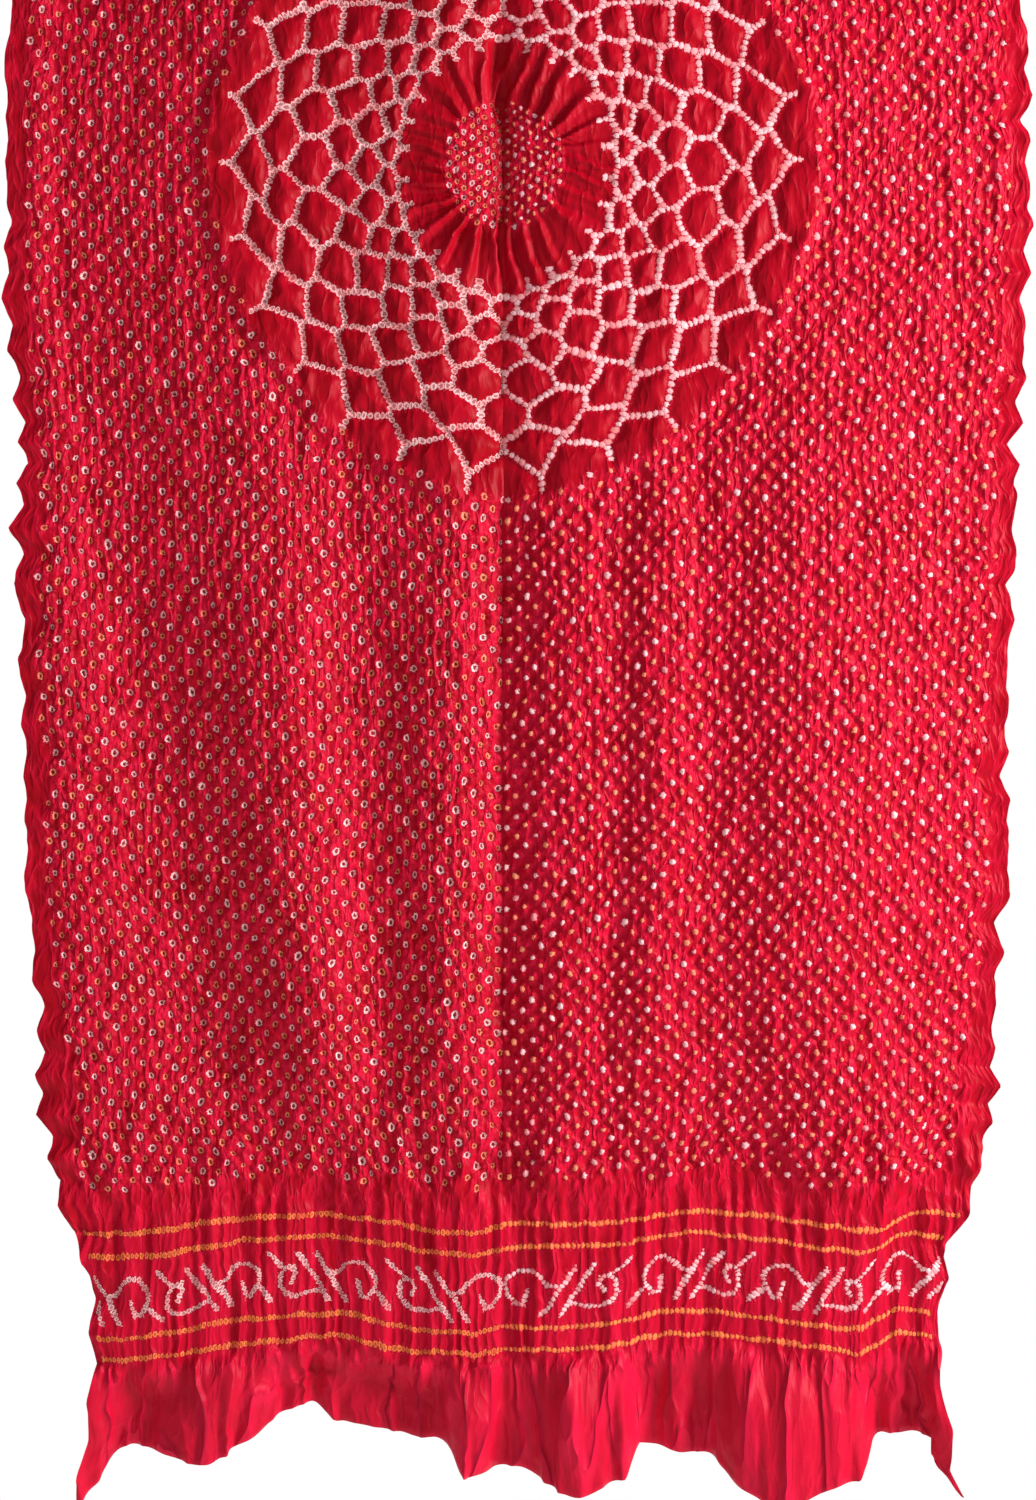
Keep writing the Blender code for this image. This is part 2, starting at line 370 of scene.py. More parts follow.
# The stage, in metres: the floor, and where each light stands, where it points, and how large it is
FLOOR_RADIUS, FLOOR_SIDES = 3.0, 96
KEY_PLACE, KEY_TARGET, KEY_SIZE = (2.3, -1.0, -0.9), (0.0, 0.0, -1.5), 0.8
FILL_PLACE, FILL_TARGET, FILL_SIZE = (-1.0, -2.8, -1.0), (0.0, 0.0, -1.4), 2.0
BACK_PLACE, BACK_TARGET, BACK_SIZE, BACK_POWER = (-1.5, 2.4, -0.6), (0.0, 0.0, -1.2), 1.6, 30.0


class BANDHANI_PG_ties(PropertyGroup):
    """Sizes of the tied dots and of the puckers between them."""

    knob_height: FloatProperty(
        name="Knob height",
        description="How far a tied dot stands out of the cloth",
        default=0.0020,
        unit="LENGTH",
    )
    ridge_height: FloatProperty(
        name="Pucker height",
        description="How high the pleats between the columns of dots stand",
        default=0.0020,
        unit="LENGTH",
    )
    dot_width: FloatProperty(
        name="Dot width",
        description="Half the width of a tied dot of the field",
        default=0.0025,
        unit="LENGTH",
    )
    dot_height: FloatProperty(
        name="Dot height",
        description="Half the height of a tied dot of the field",
        default=0.0030,
        unit="LENGTH",
    )
    chain_pitch: FloatProperty(
        name="Chain pitch",
        description="From one dot to the next along the net of the medallion",
        default=0.0055,
        unit="LENGTH",
    )
    line_pitch: FloatProperty(
        name="Line pitch",
        description="From one dot to the next along the yellow lines and the vine",
        default=0.0040,
        unit="LENGTH",
    )
    pleat_height: FloatProperty(
        name="Pleat height",
        description="How high the pleats round the middle of the medallion stand",
        default=0.0042,
        unit="LENGTH",
    )
    puff: FloatProperty(
        name="Puff",
        description="How far the cells of the net swell between its chains",
        default=0.0045,
        unit="LENGTH",
    )
    unevenness: FloatProperty(
        name="Unevenness",
        description="How far the hand of the tier strays from an even grid",
        default=0.0015,
        unit="LENGTH",
    )
    seed: IntProperty(
        name="Seed",
        description="Picks another set of uneven dots and puckers",
        default=7,
    )


class BANDHANI_PG_dyes(PropertyGroup):
    """Colours of the ground and of the tied dots, and the reds of the ground's painted shade and painted
    highlight.
    """

    ground: FloatVectorProperty(
        name="Ground",
        description="Red of the dyed ground",
        subtype="COLOR",
        size=4,
        default=(0.46, 0.0003, 0.014, 1.0),
        min=0.0,
        max=1.0,
    )
    # Deep ground: painted shade between crests, between pleats and down the oval's fold, and also the real
    # darker red of patches, slubs, mottling, calm cloth and the slits of rings
    deep: FloatVectorProperty(
        name="Deep ground",
        description="Red in the depth of the puckers",
        subtype="COLOR",
        size=4,
        default=(0.275, 0.0002, 0.0035, 1.0),
        min=0.0,
        max=1.0,
    )
    # Crest: a painted highlight on the crests of threads, pleats, ruffles and rays, and also the red of faded
    # dots and of the dots' rims
    crest: FloatVectorProperty(
        name="Crest",
        description="Red where the cloth is stretched over a crest",
        subtype="COLOR",
        size=4,
        default=(0.66, 0.005, 0.040, 1.0),
        min=0.0,
        max=1.0,
    )
    cream: FloatVectorProperty(
        name="Cream",
        description="Dots that no dye reached",
        subtype="COLOR",
        size=4,
        default=(0.93, 0.57, 0.59, 1.0),
        min=0.0,
        max=1.0,
    )
    # A lighter cream painted on the dots of the left half, as painted light where the cloth is lit less
    painted_light_cream: FloatVectorProperty(
        name="Bleached",
        description="Rims of the dots of the left half",
        subtype="COLOR",
        size=4,
        default=(1.0, 0.62, 0.59, 1.0),
        min=0.0,
        max=1.0,
    )
    pink: FloatVectorProperty(
        name="Pink",
        description="Dots that a little dye reached",
        subtype="COLOR",
        size=4,
        default=(0.84, 0.29, 0.31, 1.0),
        min=0.0,
        max=1.0,
    )
    orange: FloatVectorProperty(
        name="Orange",
        description="Dots of the field that were dyed yellow first",
        subtype="COLOR",
        size=4,
        default=(0.90, 0.29, 0.155, 1.0),
        min=0.0,
        max=1.0,
    )
    yellow: FloatVectorProperty(
        name="Yellow",
        description="Dots of the four border lines",
        subtype="COLOR",
        size=4,
        default=(0.96, 0.23, 0.065, 1.0),
        min=0.0,
        max=1.0,
    )
    sheerness: FloatProperty(
        name="Sheerness",
        description="Share of the light that passes through the untied ends",
        subtype="FACTOR",
        default=0.003,
        min=0.0,
        max=1.0,
    )


class BANDHANI_PG_stage(PropertyGroup):
    """Light and ground of the stage."""

    key_power: FloatProperty(
        name="Key power",
        description="Power of the large light at the right, in watts",
        default=113.0,
    )
    fill_power: FloatProperty(
        name="Fill power",
        description="Power of the weak light in front, in watts",
        default=11.0,
    )
    air: FloatProperty(
        name="Air light",
        description="Strength of the even light from all round",
        default=0.255,
    )
    floor_drop: FloatProperty(
        name="Floor drop",
        description="From the lowest point of the cloth to the floor",
        default=0.85,
        unit="LENGTH",
    )


def ease(value, start, end):
    """0 before start, 1 after end, and an S-curve between them."""
    share = np.clip((value - start) / (end - start), 0.0, 1.0)
    return share * share * (3.0 - 2.0 * share)


def through_folds(across, places, levels):
    """The level at each place across, eased from each crest to the next trough."""
    result = levels[0] + 0.0 * across
    for left, right, rise in zip(places[:-1], places[1:], np.diff(levels)):
        result = result + rise * ease(across, left, right)
    return result


def through_table(across, folds, column):
    """One column of the border's or the hem's table at each place across."""
    return through_folds(across, [fold.across for fold in folds], [getattr(fold, column) for fold in folds])


def through_field(across, below_middle):
    """How far the field stands forward: its long folds lean to the right on their way down."""
    run = np.clip(below_middle, LEAN_START, LEAN_END) - LEAN_FROM
    places = [fold.across + fold.lean * run for fold in FIELD_FOLDS]
    return through_folds(across, places, [fold.forward for fold in FIELD_FOLDS])


def half_width_at(distance):
    """Half the width of the cloth at each distance from its middle."""
    return np.interp(distance, [width.distance for width in WIDTHS], [width.half_width for width in WIDTHS])


def scallops_passed(down):
    """How many scallops lie above this point of an edge: the pitch swells and shrinks by turns."""
    swells = [swell.share * np.sin(2.0 * np.pi * down / swell.length) for swell in SCALLOP_SWELLS]
    return down / SCALLOP_PITCH + sum(swells)


def cloth_surface(across, down):
    """The middle of the sheet, as X, Y and Z arrays: the same folds as the solid's."""
    below_middle = down - MIDDLE
    distance = np.abs(below_middle)
    lower = ease(below_middle, FREE_FROM, FREE_FULL)
    half_width = half_width_at(distance)
    uneven = 0.5 + 0.5 * np.sin(2.0 * np.pi * (down / UNEVEN_LENGTH + np.sign(across) * down / UNEVEN_APART))
    turn = 2.0 * np.abs(2.0 * (scallops_passed(down) % 1.0) - 1.0) - 1.0
    scallop = turn * np.sign(across) * (SHALLOWEST + (1.0 - SHALLOWEST) * uneven)
    at_edge = ease(np.abs(across), 1.0 - 2.0 * EDGE_STRIP, 1.0)
    x = across * half_width + CREASE_PLACE * (1.0 - np.abs(across))
    x = x + np.sign(across) * at_edge * SCALLOP_DEPTH * scallop

    border = ease(distance, FIELD_END, BORDER_START)
    ruffle = ease(distance, BORDER_END, RUFFLE_FULL)
    calm = CALMEST + (1.0 - CALMEST) * ease(distance, CALM_TO, RIPPLED_FROM)
    sag = ease(distance, BORDER_END, MIDDLE)
    strength = lower + (1.0 - lower) * (1.0 - TOP_FLATTENING * ease(distance, FLATTENING_FROM, MIDDLE))
    forward = (
        (1.0 - border) * calm * through_field(across, below_middle)
        + border * (1.0 - ruffle) * through_table(across, BORDER_FOLDS, "forward")
        + ruffle * through_table(across, HEM_FOLDS, "forward")
    )
    crease = CREASE_DEPTH * np.exp(-np.abs(across * half_width) / CREASE_WIDTH)
    forward = strength * (forward - crease * (1.0 - border))
    forward = forward + MEDALLION_RISE * np.exp(
        -((x / MEDALLION_RADIUS) ** 2 + (below_middle / MEDALLION_RADIUS) ** 2) * 2.0
    )
    forward = forward + at_edge * EDGE_RIPPLE * scallop
    drop = lower * (
        border * (1.0 - sag) * through_table(across, BORDER_FOLDS, "drop")
        + sag * through_table(across, HEM_FOLDS, "drop")
    )
    return x, -forward, -down - drop


def noise(u, v, seed):
    """Smooth noise from -1 to 1: a random value at each whole u and v, eased between them."""
    table = np.random.default_rng(seed).uniform(-1.0, 1.0, (256, 256))
    left, top = np.floor(u).astype(int), np.floor(v).astype(int)
    right_share, down_share = ease(u - left, 0.0, 1.0), ease(v - top, 0.0, 1.0)

    def corner(right, down):
        return table[(left + right) % 256, (top + down) % 256]

    upper = corner(0, 0) * (1.0 - right_share) + corner(1, 0) * right_share
    lower = corner(0, 1) * (1.0 - right_share) + corner(1, 1) * right_share
    return upper * (1.0 - down_share) + lower * down_share


def oval_distance(side, below, ring, squareness=2.0):
    """1 on an oval of the ring's half width and half height, less inside it and more outside."""
    wide = np.abs(side / ring.half_width) ** squareness
    high = np.abs((below - MEDALLION_CENTRE) / ring.half_height) ** squareness
    return (wide + high) ** (1.0 / squareness)


def has_field_dot(side, below, seed):
    """Whether the field has a dot there: not in the halo, along the edges or near the border."""
    distance = np.abs(below)
    ragged = 0.5 + 0.5 * noise(side / RAGGED_ACROSS, below / RAGGED_DOWN, seed)
    outside_halo = oval_distance(side, below, HALO, HALO_SQUARENESS) > HALO_RIM + HALO_RAGGED * ragged
    strip = PLAIN_EDGE + PLAIN_EDGE_RAGGED * ragged + PLAIN_EDGE_LOWER * ease(distance, 0.6, 0.9)
    inside_edges = side < half_width_at(distance) - strip
    return outside_halo & inside_edges & (distance < FIELD_STOP - FIELD_STOP_RAGGED * ragged)


def nearest_field_dot(side_share, below, seed):
    """The nearest dot of the field: its place, its number and its diagonal's number.

    Dots stand in columns. Those of each column lie a diagonal's height apart, and each next
    column starts one step higher, so that the dots also line up in climbing diagonals.
    """
    column_at = side_share * DOT_COLUMNS - 0.5
    distance = np.abs(below)
    half_width = half_width_at(distance)
    best = np.full(side_share.shape, np.inf)
    side, level = np.zeros_like(best), np.zeros_like(best)
    column, diagonal = np.zeros_like(best), np.zeros_like(best)
    for neighbour in (-1, 0, 1):
        near_column = np.clip(np.round(column_at) + neighbour, 0, DOT_COLUMNS - 1)
        near_diagonal = np.round((below / ROW + ROWS_PER_STEP * near_column) / ROWS_PER_DIAGONAL)
        near_side = (near_column + 0.5) / DOT_COLUMNS * half_width
        near_level = (ROWS_PER_DIAGONAL * near_diagonal - ROWS_PER_STEP * near_column) * ROW
        far = np.hypot(side_share * half_width - near_side, below - near_level)
        closer = far < best
        best = np.where(closer, far, best)
        side, level = np.where(closer, near_side, side), np.where(closer, near_level, level)
        column, diagonal = np.where(closer, near_column, column), np.where(closer, near_diagonal, diagonal)
    number = column * 251.0 % 1021.0 + np.mod(diagonal, 512.0)
    return side, level, number, diagonal, has_field_dot(side, level, seed)


def nearest_medallion_dot(side, below):
    """The nearest dot of the oval in the middle of the medallion, on a closer grid of diagonals."""
    column = np.clip(np.round(side / DOTTED_COLUMN - 0.5), 0, 99)
    from_centre = below - MEDALLION_CENTRE
    diagonal = np.round((from_centre + DOTTED_STEP * column) / DOTTED_DIAGONAL)
    dot_side = (column + 0.5) * DOTTED_COLUMN
    dot_level = diagonal * DOTTED_DIAGONAL - DOTTED_STEP * column + MEDALLION_CENTRE
    inside = oval_distance(dot_side, dot_level, DOTTED_OVAL) < 1.0
    return dot_side, dot_level, column * 37.0 + np.mod(diagonal, 64.0), diagonal, inside


def net_strokes(seed):
    """The chains of the medallion's net, as pairs of points in its right half.

    Each line runs round the medallion in a zigzag, in at the end of each wall from the ring of
    cells within it and out at the start of each wall of the next ring, as in a honeycomb.
    """
    generator = np.random.default_rng(seed)
    turns = NET_CELLS
    points = []
    for index, ring in enumerate(NET_RINGS):
        inner, outer = NET_RINGS[max(index - 1, 0)], NET_RINGS[min(index + 1, len(NET_RINGS) - 1)]
        depth = ZIGZAG_SHARE * (outer.half_width - inner.half_width) / 2.0
        if index == len(NET_RINGS) - 1:
            depth = LAST_ZIGZAG
        squareness = 2.0 - (2.0 - HALO_SQUARENESS) * index / (len(NET_RINGS) - 1)
        line = []
        for step in range(turns + 1):
            starts_wall = (step + index) % 2 == 1
            stray = generator.uniform(-1.0, 1.0, 2)
            angle = math.pi * (step + (TURN_STRAY * stray[0] if 0 < step < turns else 0.0)) / turns
            out = (depth if starts_wall else -depth) * (1.0 + ZIGZAG_STRAY * stray[1])
            right, up = math.sin(angle), math.cos(angle)
            drawn_in = (abs(right) ** squareness + abs(up) ** squareness) ** (-1.0 / squareness)
            line.append(
                (
                    (ring.half_width * drawn_in + out) * right,
                    MEDALLION_CENTRE - (ring.half_height * drawn_in + out) * up,
                )
            )
        points.append(line)
    strokes = []
    last = len(NET_RINGS) - 1
    for index, line in enumerate(points):
        for step in range(turns):
            strokes.append((line[step], line[step + 1]))
        for step in range(turns + 1):
            starts_wall = (step + index) % 2 == 1
            here = np.array(line[step])
            centre = np.array((0.0, MEDALLION_CENTRE))
            if starts_wall and index < last:
                strokes.append((line[step], points[index + 1][step]))
            elif starts_wall and step not in (0, turns):
                out = NET_SPIKE * generator.uniform(0.7, 1.7) / np.linalg.norm(here - centre)
                spike = here + (here - centre) * out
                strokes.append((line[step], tuple(spike)))
            elif index == 0 and step not in (0, turns):
                spike = here - (here - centre) * INNER_SPIKE / np.linalg.norm(here - centre)
                strokes.append((line[step], tuple(spike)))
    return strokes


def vine_strokes():
    """The strokes of the vine in the right half, in metres from the crease and from the cloth's middle."""
    strokes = []
    for motif in VINE_MOTIFS:
        for stroke in VINE_STROKES:
            points = [
                (motif.start + motif.share * across / 1000.0, VINE_MIDDLE + VINE_FLATTENING * down / 1000.0)
                for across, down in stroke.points
            ]
            strokes.append((points, STROKE_SHARE * stroke.width / 2000.0))
        if motif.start > 0.0:
            points = [(motif.start + across, VINE_MIDDLE + down) for across, down in (TAIL_FROM, TAIL_TO)]
            strokes.append((points, TAIL_RADIUS))
    return strokes


Segments = namedtuple("Segments", "x0 y0 along_x along_y length first pitch radius number")


def cut_into_segments(strokes, pitch):
    """Every stroke as straight segments, with a whole number of dots of about the pitch on it.

    first is how many dots lie before a segment on its stroke, and number tells the strokes apart.
    """
    rows = []
    for number, (points, radius) in enumerate(strokes):
        points = np.array(points, float)
        steps = np.diff(points, axis=0)
        lengths = np.hypot(steps[:, 0], steps[:, 1])
        dots = max(1.0, round(lengths.sum() / pitch))
        own_pitch = lengths.sum() / dots
        passed = np.concatenate([[0.0], np.cumsum(lengths)])
        for start, step, length, before in zip(points[:-1], steps, lengths, passed):
            rows.append(
                (*start, *(step / length), length, before / own_pitch, own_pitch, radius, number * 17 % 997.0)
            )
    return Segments(*np.array(rows).T)


def nearest_segment(x, y, segments, reach):
    """The nearest segment to each point and how far it is, with -1 where none lies within reach."""
    found = np.full(x.shape, -1)
    far = np.full(x.shape, np.inf)
    for start in range(0, len(x), 4000):
        part = slice(start, start + 4000)
        from_x = x[part, None] - segments.x0
        from_y = y[part, None] - segments.y0
        along = np.clip(from_x * segments.along_x + from_y * segments.along_y, 0.0, segments.length)
        gap = np.hypot(from_x - along * segments.along_x, from_y - along * segments.along_y)
        nearest = np.argmin(gap, axis=1)
        distance = gap[np.arange(len(nearest)), nearest]
        found[part] = np.where(distance < reach, nearest, -1)
        far[part] = distance
    return found, far


def line_waver(side, line, seed):
    """How far a yellow line strays from straight, in metres, at each place across."""
    row = 0.0 * side + LINE_ROWS * line
    wave = LINE_WAVE * noise(side / LINE_WAVE_LENGTH, row, seed)
    return wave + LINE_JOG * noise(side / LINE_JOG_LENGTH, row + 3.0, seed)


Cloth = namedtuple("Cloth", "points normals flat tie thread sheer pucker")


@functools.lru_cache(maxsize=1)
def whole_cloth(knob, ridge, dot_width, dot_height, chain_pitch, line_pitch, pleat, puff, unevenness, seed):
    """The whole cloth as arrays over the grid's points and faces.

    points and normals give the puckered surface, flat the place of each point on the cloth, tie
    and thread what the nearest dot of each face is and where its corners lie from it, sheer how
    thin the cloth is, and pucker how finely it is crinkled.
    """
    columns = np.arange(-HALF_COLUMNS, HALF_COLUMNS + 1)
    rows = np.arange(GRID_ROWS + 1)
    column, row = np.meshgrid(columns, rows)
    across = column / HALF_COLUMNS
    down = row * ROW
    below = down - MIDDLE
    distance = np.abs(below)
    half_width = half_width_at(distance)
    x = across * half_width
    side = np.abs(x)
    facing = np.where(column >= 0, 1.0, -1.0)

    net = net_strokes(seed)
    net_segments = cut_into_segments([(points, CHAIN_DOT_HEIGHT) for points in net], chain_pitch)
    vine_segments = cut_into_segments(vine_strokes(), line_pitch)

    relief = puckers(column, row, x, below, net_segments, knob, ridge, pleat, puff, seed)
    tie, thread = ties_of_faces(
        across, below, net_segments, vine_segments, dot_width, dot_height, line_pitch, seed
    )

    by_tie = (x / TIE_WANDER[0], below / TIE_WANDER[1])
    by_row = (x / ROW_WANDER[0], below / ROW_WANDER[1])
    wander_x = unevenness * noise(*by_tie, seed + 1) + ROW_WANDER_ACROSS * noise(*by_row, seed + 2)
    wander_y = unevenness * noise(*by_tie, seed + 3) + ROW_WANDER_DOWN * noise(*by_row, seed + 4)
    within = (1.0 - ease(np.abs(across), 0.96, 1.0)) * ease(np.minimum(down, LENGTH - down), 0.0, 0.02)
    near_crease = ease(side, 0.0, 0.004)
    moved_across = across + within * near_crease * wander_x / half_width
    moved_down = down + within * wander_y
    base = np.stack(cloth_surface(moved_across, moved_down), axis=-1)
    at_edge = ease(np.abs(across), 1.0 - 1.5 * EDGE_STRIP, 1.0)
    stray = EDGE_WAVE * noise(down / EDGE_WAVE_LENGTH, EDGE_ROW + facing, seed + 6)
    stray = stray + EDGE_NICK * noise(down / EDGE_NICK_LENGTH, EDGE_ROW + facing, seed + 7)
    base[..., 0] += at_edge * facing * (stray - EDGE_INSET)
    points = base + grid_normals(base) * relief[..., None]
    normals = grid_normals(points)

    flat = np.stack([x, down, 0.0 * x], axis=-1)
    waver = SHEER_WAVER * noise(x / SHEER_WAVER_LENGTH, 0.0 * x, seed + 5)
    sheer = ease(distance + waver, YELLOW_LINES[-1] + SHEER_START, YELLOW_LINES[-1] + SHEER_FULL)
    pucker = crinkle_share(x, below) + gather_share(below)
    return Cloth(points, normals, flat, tie, thread, sheer, pucker)


def grid_normals(points):
    """Normals of a grid of points, towards the viewer: the cross product of its steps across and down."""
    across = np.gradient(points, axis=1)
    down = np.gradient(points, axis=0)
    normals = np.cross(down, across)
    return normals / np.linalg.norm(normals, axis=-1, keepdims=True)


def crinkle_share(x, below):
    """How finely the cloth is crinkled: fully among the dots and the border, hardly in the halo."""
    side, distance = np.abs(x), np.abs(below)
    in_halo = 1.0 - ease(oval_distance(side, below, HALO, HALO_SQUARENESS), 0.97, 1.05)
    in_dots = 1.0 - ease(oval_distance(side, below, DOTTED_OVAL), 0.9, 1.1)
    plain_end = ease(distance, YELLOW_LINES[-1], YELLOW_LINES[-1] + 0.03)
    edge = ease(side, half_width_at(distance) - 0.03, half_width_at(distance) - 0.008)
    share = 1.0 - HALO_CALM * in_halo * (1.0 - in_dots)
    share = share * (1.0 - END_CALM * plain_end)
    return share * (1.0 - EDGE_CALM * edge)


def gather_share(below):
    """How tightly the cloth is gathered into straight pleats: only in the border."""
    distance = np.abs(below)
    begun = ease(distance, FIELD_STOP + 0.004, YELLOW_LINES[0] - 0.002)
    return begun * (1.0 - ease(distance, YELLOW_LINES[-1] + 0.002, YELLOW_LINES[-1] + 0.022))


def crinkled(x, below, crinkles, seed):
    """The sum of some crinkles: noise that is as wide and as long as each of them.

    A sharp one is one less twice the size of the noise, so that it peaks in a crest wherever the
    noise changes sign.
    """
    total = 0.0 * x
    for crinkle in crinkles:
        level = noise(x / crinkle.across, below / crinkle.down, seed + crinkle.number)
        total = total + crinkle.height * (1.0 - 2.0 * np.abs(level) if crinkle.sharp else level)
    return total


def field_relief(side_share, facing, x, below, knob, ridge, seed):
    """The tied field: a knob or a pit at each dot, on a ridge or in a furrow along its column."""
    side, distance = np.abs(x), np.abs(below)
    dot_side, dot_level, _, _, present = nearest_field_dot(side_share, below, seed)
    gap = np.hypot(side - dot_side, (below - dot_level) / KNOB_STRETCH)
    tied = ease(oval_distance(side, below, HALO, HALO_SQUARENESS), 1.0, 1.06)
    tied = tied * (1.0 - ease(distance, FIELD_STOP - 0.02, FIELD_STOP + 0.01))
    tied = tied * (1.0 - ease(side, half_width_at(distance) - 0.03, half_width_at(distance) - 0.012))
    knobs = present * knob * np.exp(-((gap / KNOB_SPREAD) ** 2))
    swell = SWELL_MIDDLE + SWELL_RANGE * noise(x / SWELL_ACROSS, below / SWELL_DOWN, seed + 12)
    from_ridge, along_ridge = (side - dot_side) / RIDGE_WIDTH, (below - dot_level) / RIDGE_LENGTH
    ridges = ridge * swell * np.exp(-(from_ridge**2) - along_ridge**2)
    return tied * (facing * (knobs + ridges) + crinkled(x, below, FIELD_CRINKLES, seed))


def oval_relief(facing, x, below, knob, pleat, seed):
    """The middle of the medallion: dots in an oval, and pleats that spread from it like rays."""
    side = np.abs(x)
    oval_share = oval_distance(side, below, NET_RINGS[0])
    in_oval = 1.0 - ease(oval_share, 0.93, 1.02)
    turn = np.arctan2(x, -(below - MEDALLION_CENTRE)) / (2.0 * np.pi) * OVAL_PLEATS
    folds = turn + PLEAT_STRAY * noise(turn * 0.45 + 20.0, 2.2 * oval_share, seed + 21)
    rays = np.cos(2.0 * np.pi * folds) + PLEAT_OVERTONE * np.cos(4.0 * np.pi * folds + OVERTONE_TURN)
    uneven = noise(turn * 0.8 + 31.0, 1.5 * oval_share, seed + 22)
    rays = rays * (1.0 - PLEAT_UNEVEN + PLEAT_UNEVEN * uneven)
    open_share = ease(oval_share, 0.30, 0.62) * (1.0 - PLEAT_FLATTENING * ease(oval_share, 0.62, 1.0))
    pinch = np.exp(-(((x + PINCH_PLACE) / PINCH_WIDTH) ** 2)) * ease(MEDALLION_CENTRE - below, 0.01, 0.06)

    dot_side, dot_level, _, _, dotted = nearest_medallion_dot(side, below)
    gap = np.hypot(side - dot_side, below - dot_level)
    in_dots = 1.0 - ease(oval_distance(side, below, DOTTED_OVAL), 0.95, 1.15)
    dots = dotted * facing * knob * np.exp(-((gap / KNOB_SPREAD) ** 2))
    dots = dots + in_dots * crinkled(x, below, OVAL_CRINKLES, seed)
    return in_oval * (pleat * rays * open_share - PINCH_DEPTH * pinch + dots)


def net_relief(facing, x, below, chain_gap, puff, seed):
    """The net: cells puffed like cushions and crumpled between the chains, and the halo round it."""
    side, distance = np.abs(x), np.abs(below)
    in_oval = 1.0 - ease(oval_distance(side, below, NET_RINGS[0]), 0.93, 1.02)
    halo_share = oval_distance(side, below, HALO, HALO_SQUARENESS)
    in_net = (1.0 - in_oval) * (1.0 - ease(halo_share, 1.0, 1.06))
    cushion = puff * (1.0 - np.exp(-((chain_gap / CUSHION_WIDTH) ** 2)))
    chain = (CHAIN_RISE + CHAIN_TURN * facing) * np.exp(-((chain_gap / CHAIN_SPREAD) ** 2))
    crumpled = ease(chain_gap, 0.001, 0.006) * crinkled(x, below, NET_CRINKLES, seed)
    return in_net * (cushion + chain + crumpled)


def border_relief(x, below, seed):
    """The gathered border, the cloth that fans out above it, and the ruffles of the untied end."""
    side, distance = np.abs(x), np.abs(below)
    past_field = ease(distance, FIELD_STOP - 0.01, FIELD_STOP + 0.02)
    below_border = distance - YELLOW_LINES[-1]
    gathered = past_field * (1.0 - ease(below_border, 0.0, 0.02))
    relief = gathered * crinkled(x, below, BORDER_CRINKLES, seed)
    for line in YELLOW_LINES:
        from_line = distance - line - line_waver(side, line, seed)
        relief = relief + LINE_RISE * np.exp(-((from_line / LINE_SPREAD) ** 2))
    fanning = np.exp(-(((distance - FAN_MIDDLE) / FAN_SPREAD) ** 2))
    relief = relief + fanning * crinkled(x, below, FAN_CRINKLES, seed)
    opened = ease(below_border, 0.0, RUFFLES_OPEN)
    ruffles = (1.0 - opened) * crinkled(x, below, GATHER_CRINKLES, seed)
    ruffles = ruffles + opened * crinkled(x, below, RUFFLES, seed)
    return relief + ease(below_border, 0.0, 0.012) * ruffles


def puckers(column, row, x, below, net_segments, knob, ridge, pleat, puff, seed):
    """How far each point of the grid stands out of the long folds.

    In the right half the dots were pinched forward and stand up as knobs on ridges. In the left
    half, which lay face to face with it, they are pits between puffed pleats.
    """
    side, distance = np.abs(x), np.abs(below)
    facing = np.where(column >= 0, 1.0, -1.0)
    near_net = (oval_distance(side, below, HALO, HALO_SQUARENESS) < 1.06).ravel()
    chain_gap = np.full(x.shape, 0.02)
    _, gaps = nearest_segment(side.ravel()[near_net], below.ravel()[near_net], net_segments, 1.0)
    chain_gap.ravel()[near_net] = gaps

    relief = field_relief(np.abs(column) / HALF_COLUMNS, facing, x, below, knob, ridge, seed)
    relief = relief + oval_relief(facing, x, below, knob, pleat, seed)
    relief = relief + net_relief(facing, x, below, chain_gap, puff, seed)
    relief = relief + border_relief(x, below, seed)
    edge = ease(side, half_width_at(distance) - 0.035, half_width_at(distance) - 0.01)
    rolled = 1.0 - ease(np.minimum(row, GRID_ROWS - row) * ROW, 0.0, HEM_ROLL)
    return relief + edge * crinkled(x, below, EDGE_CRINKLES, seed) - HEM_ROLL_HEIGHT * rolled


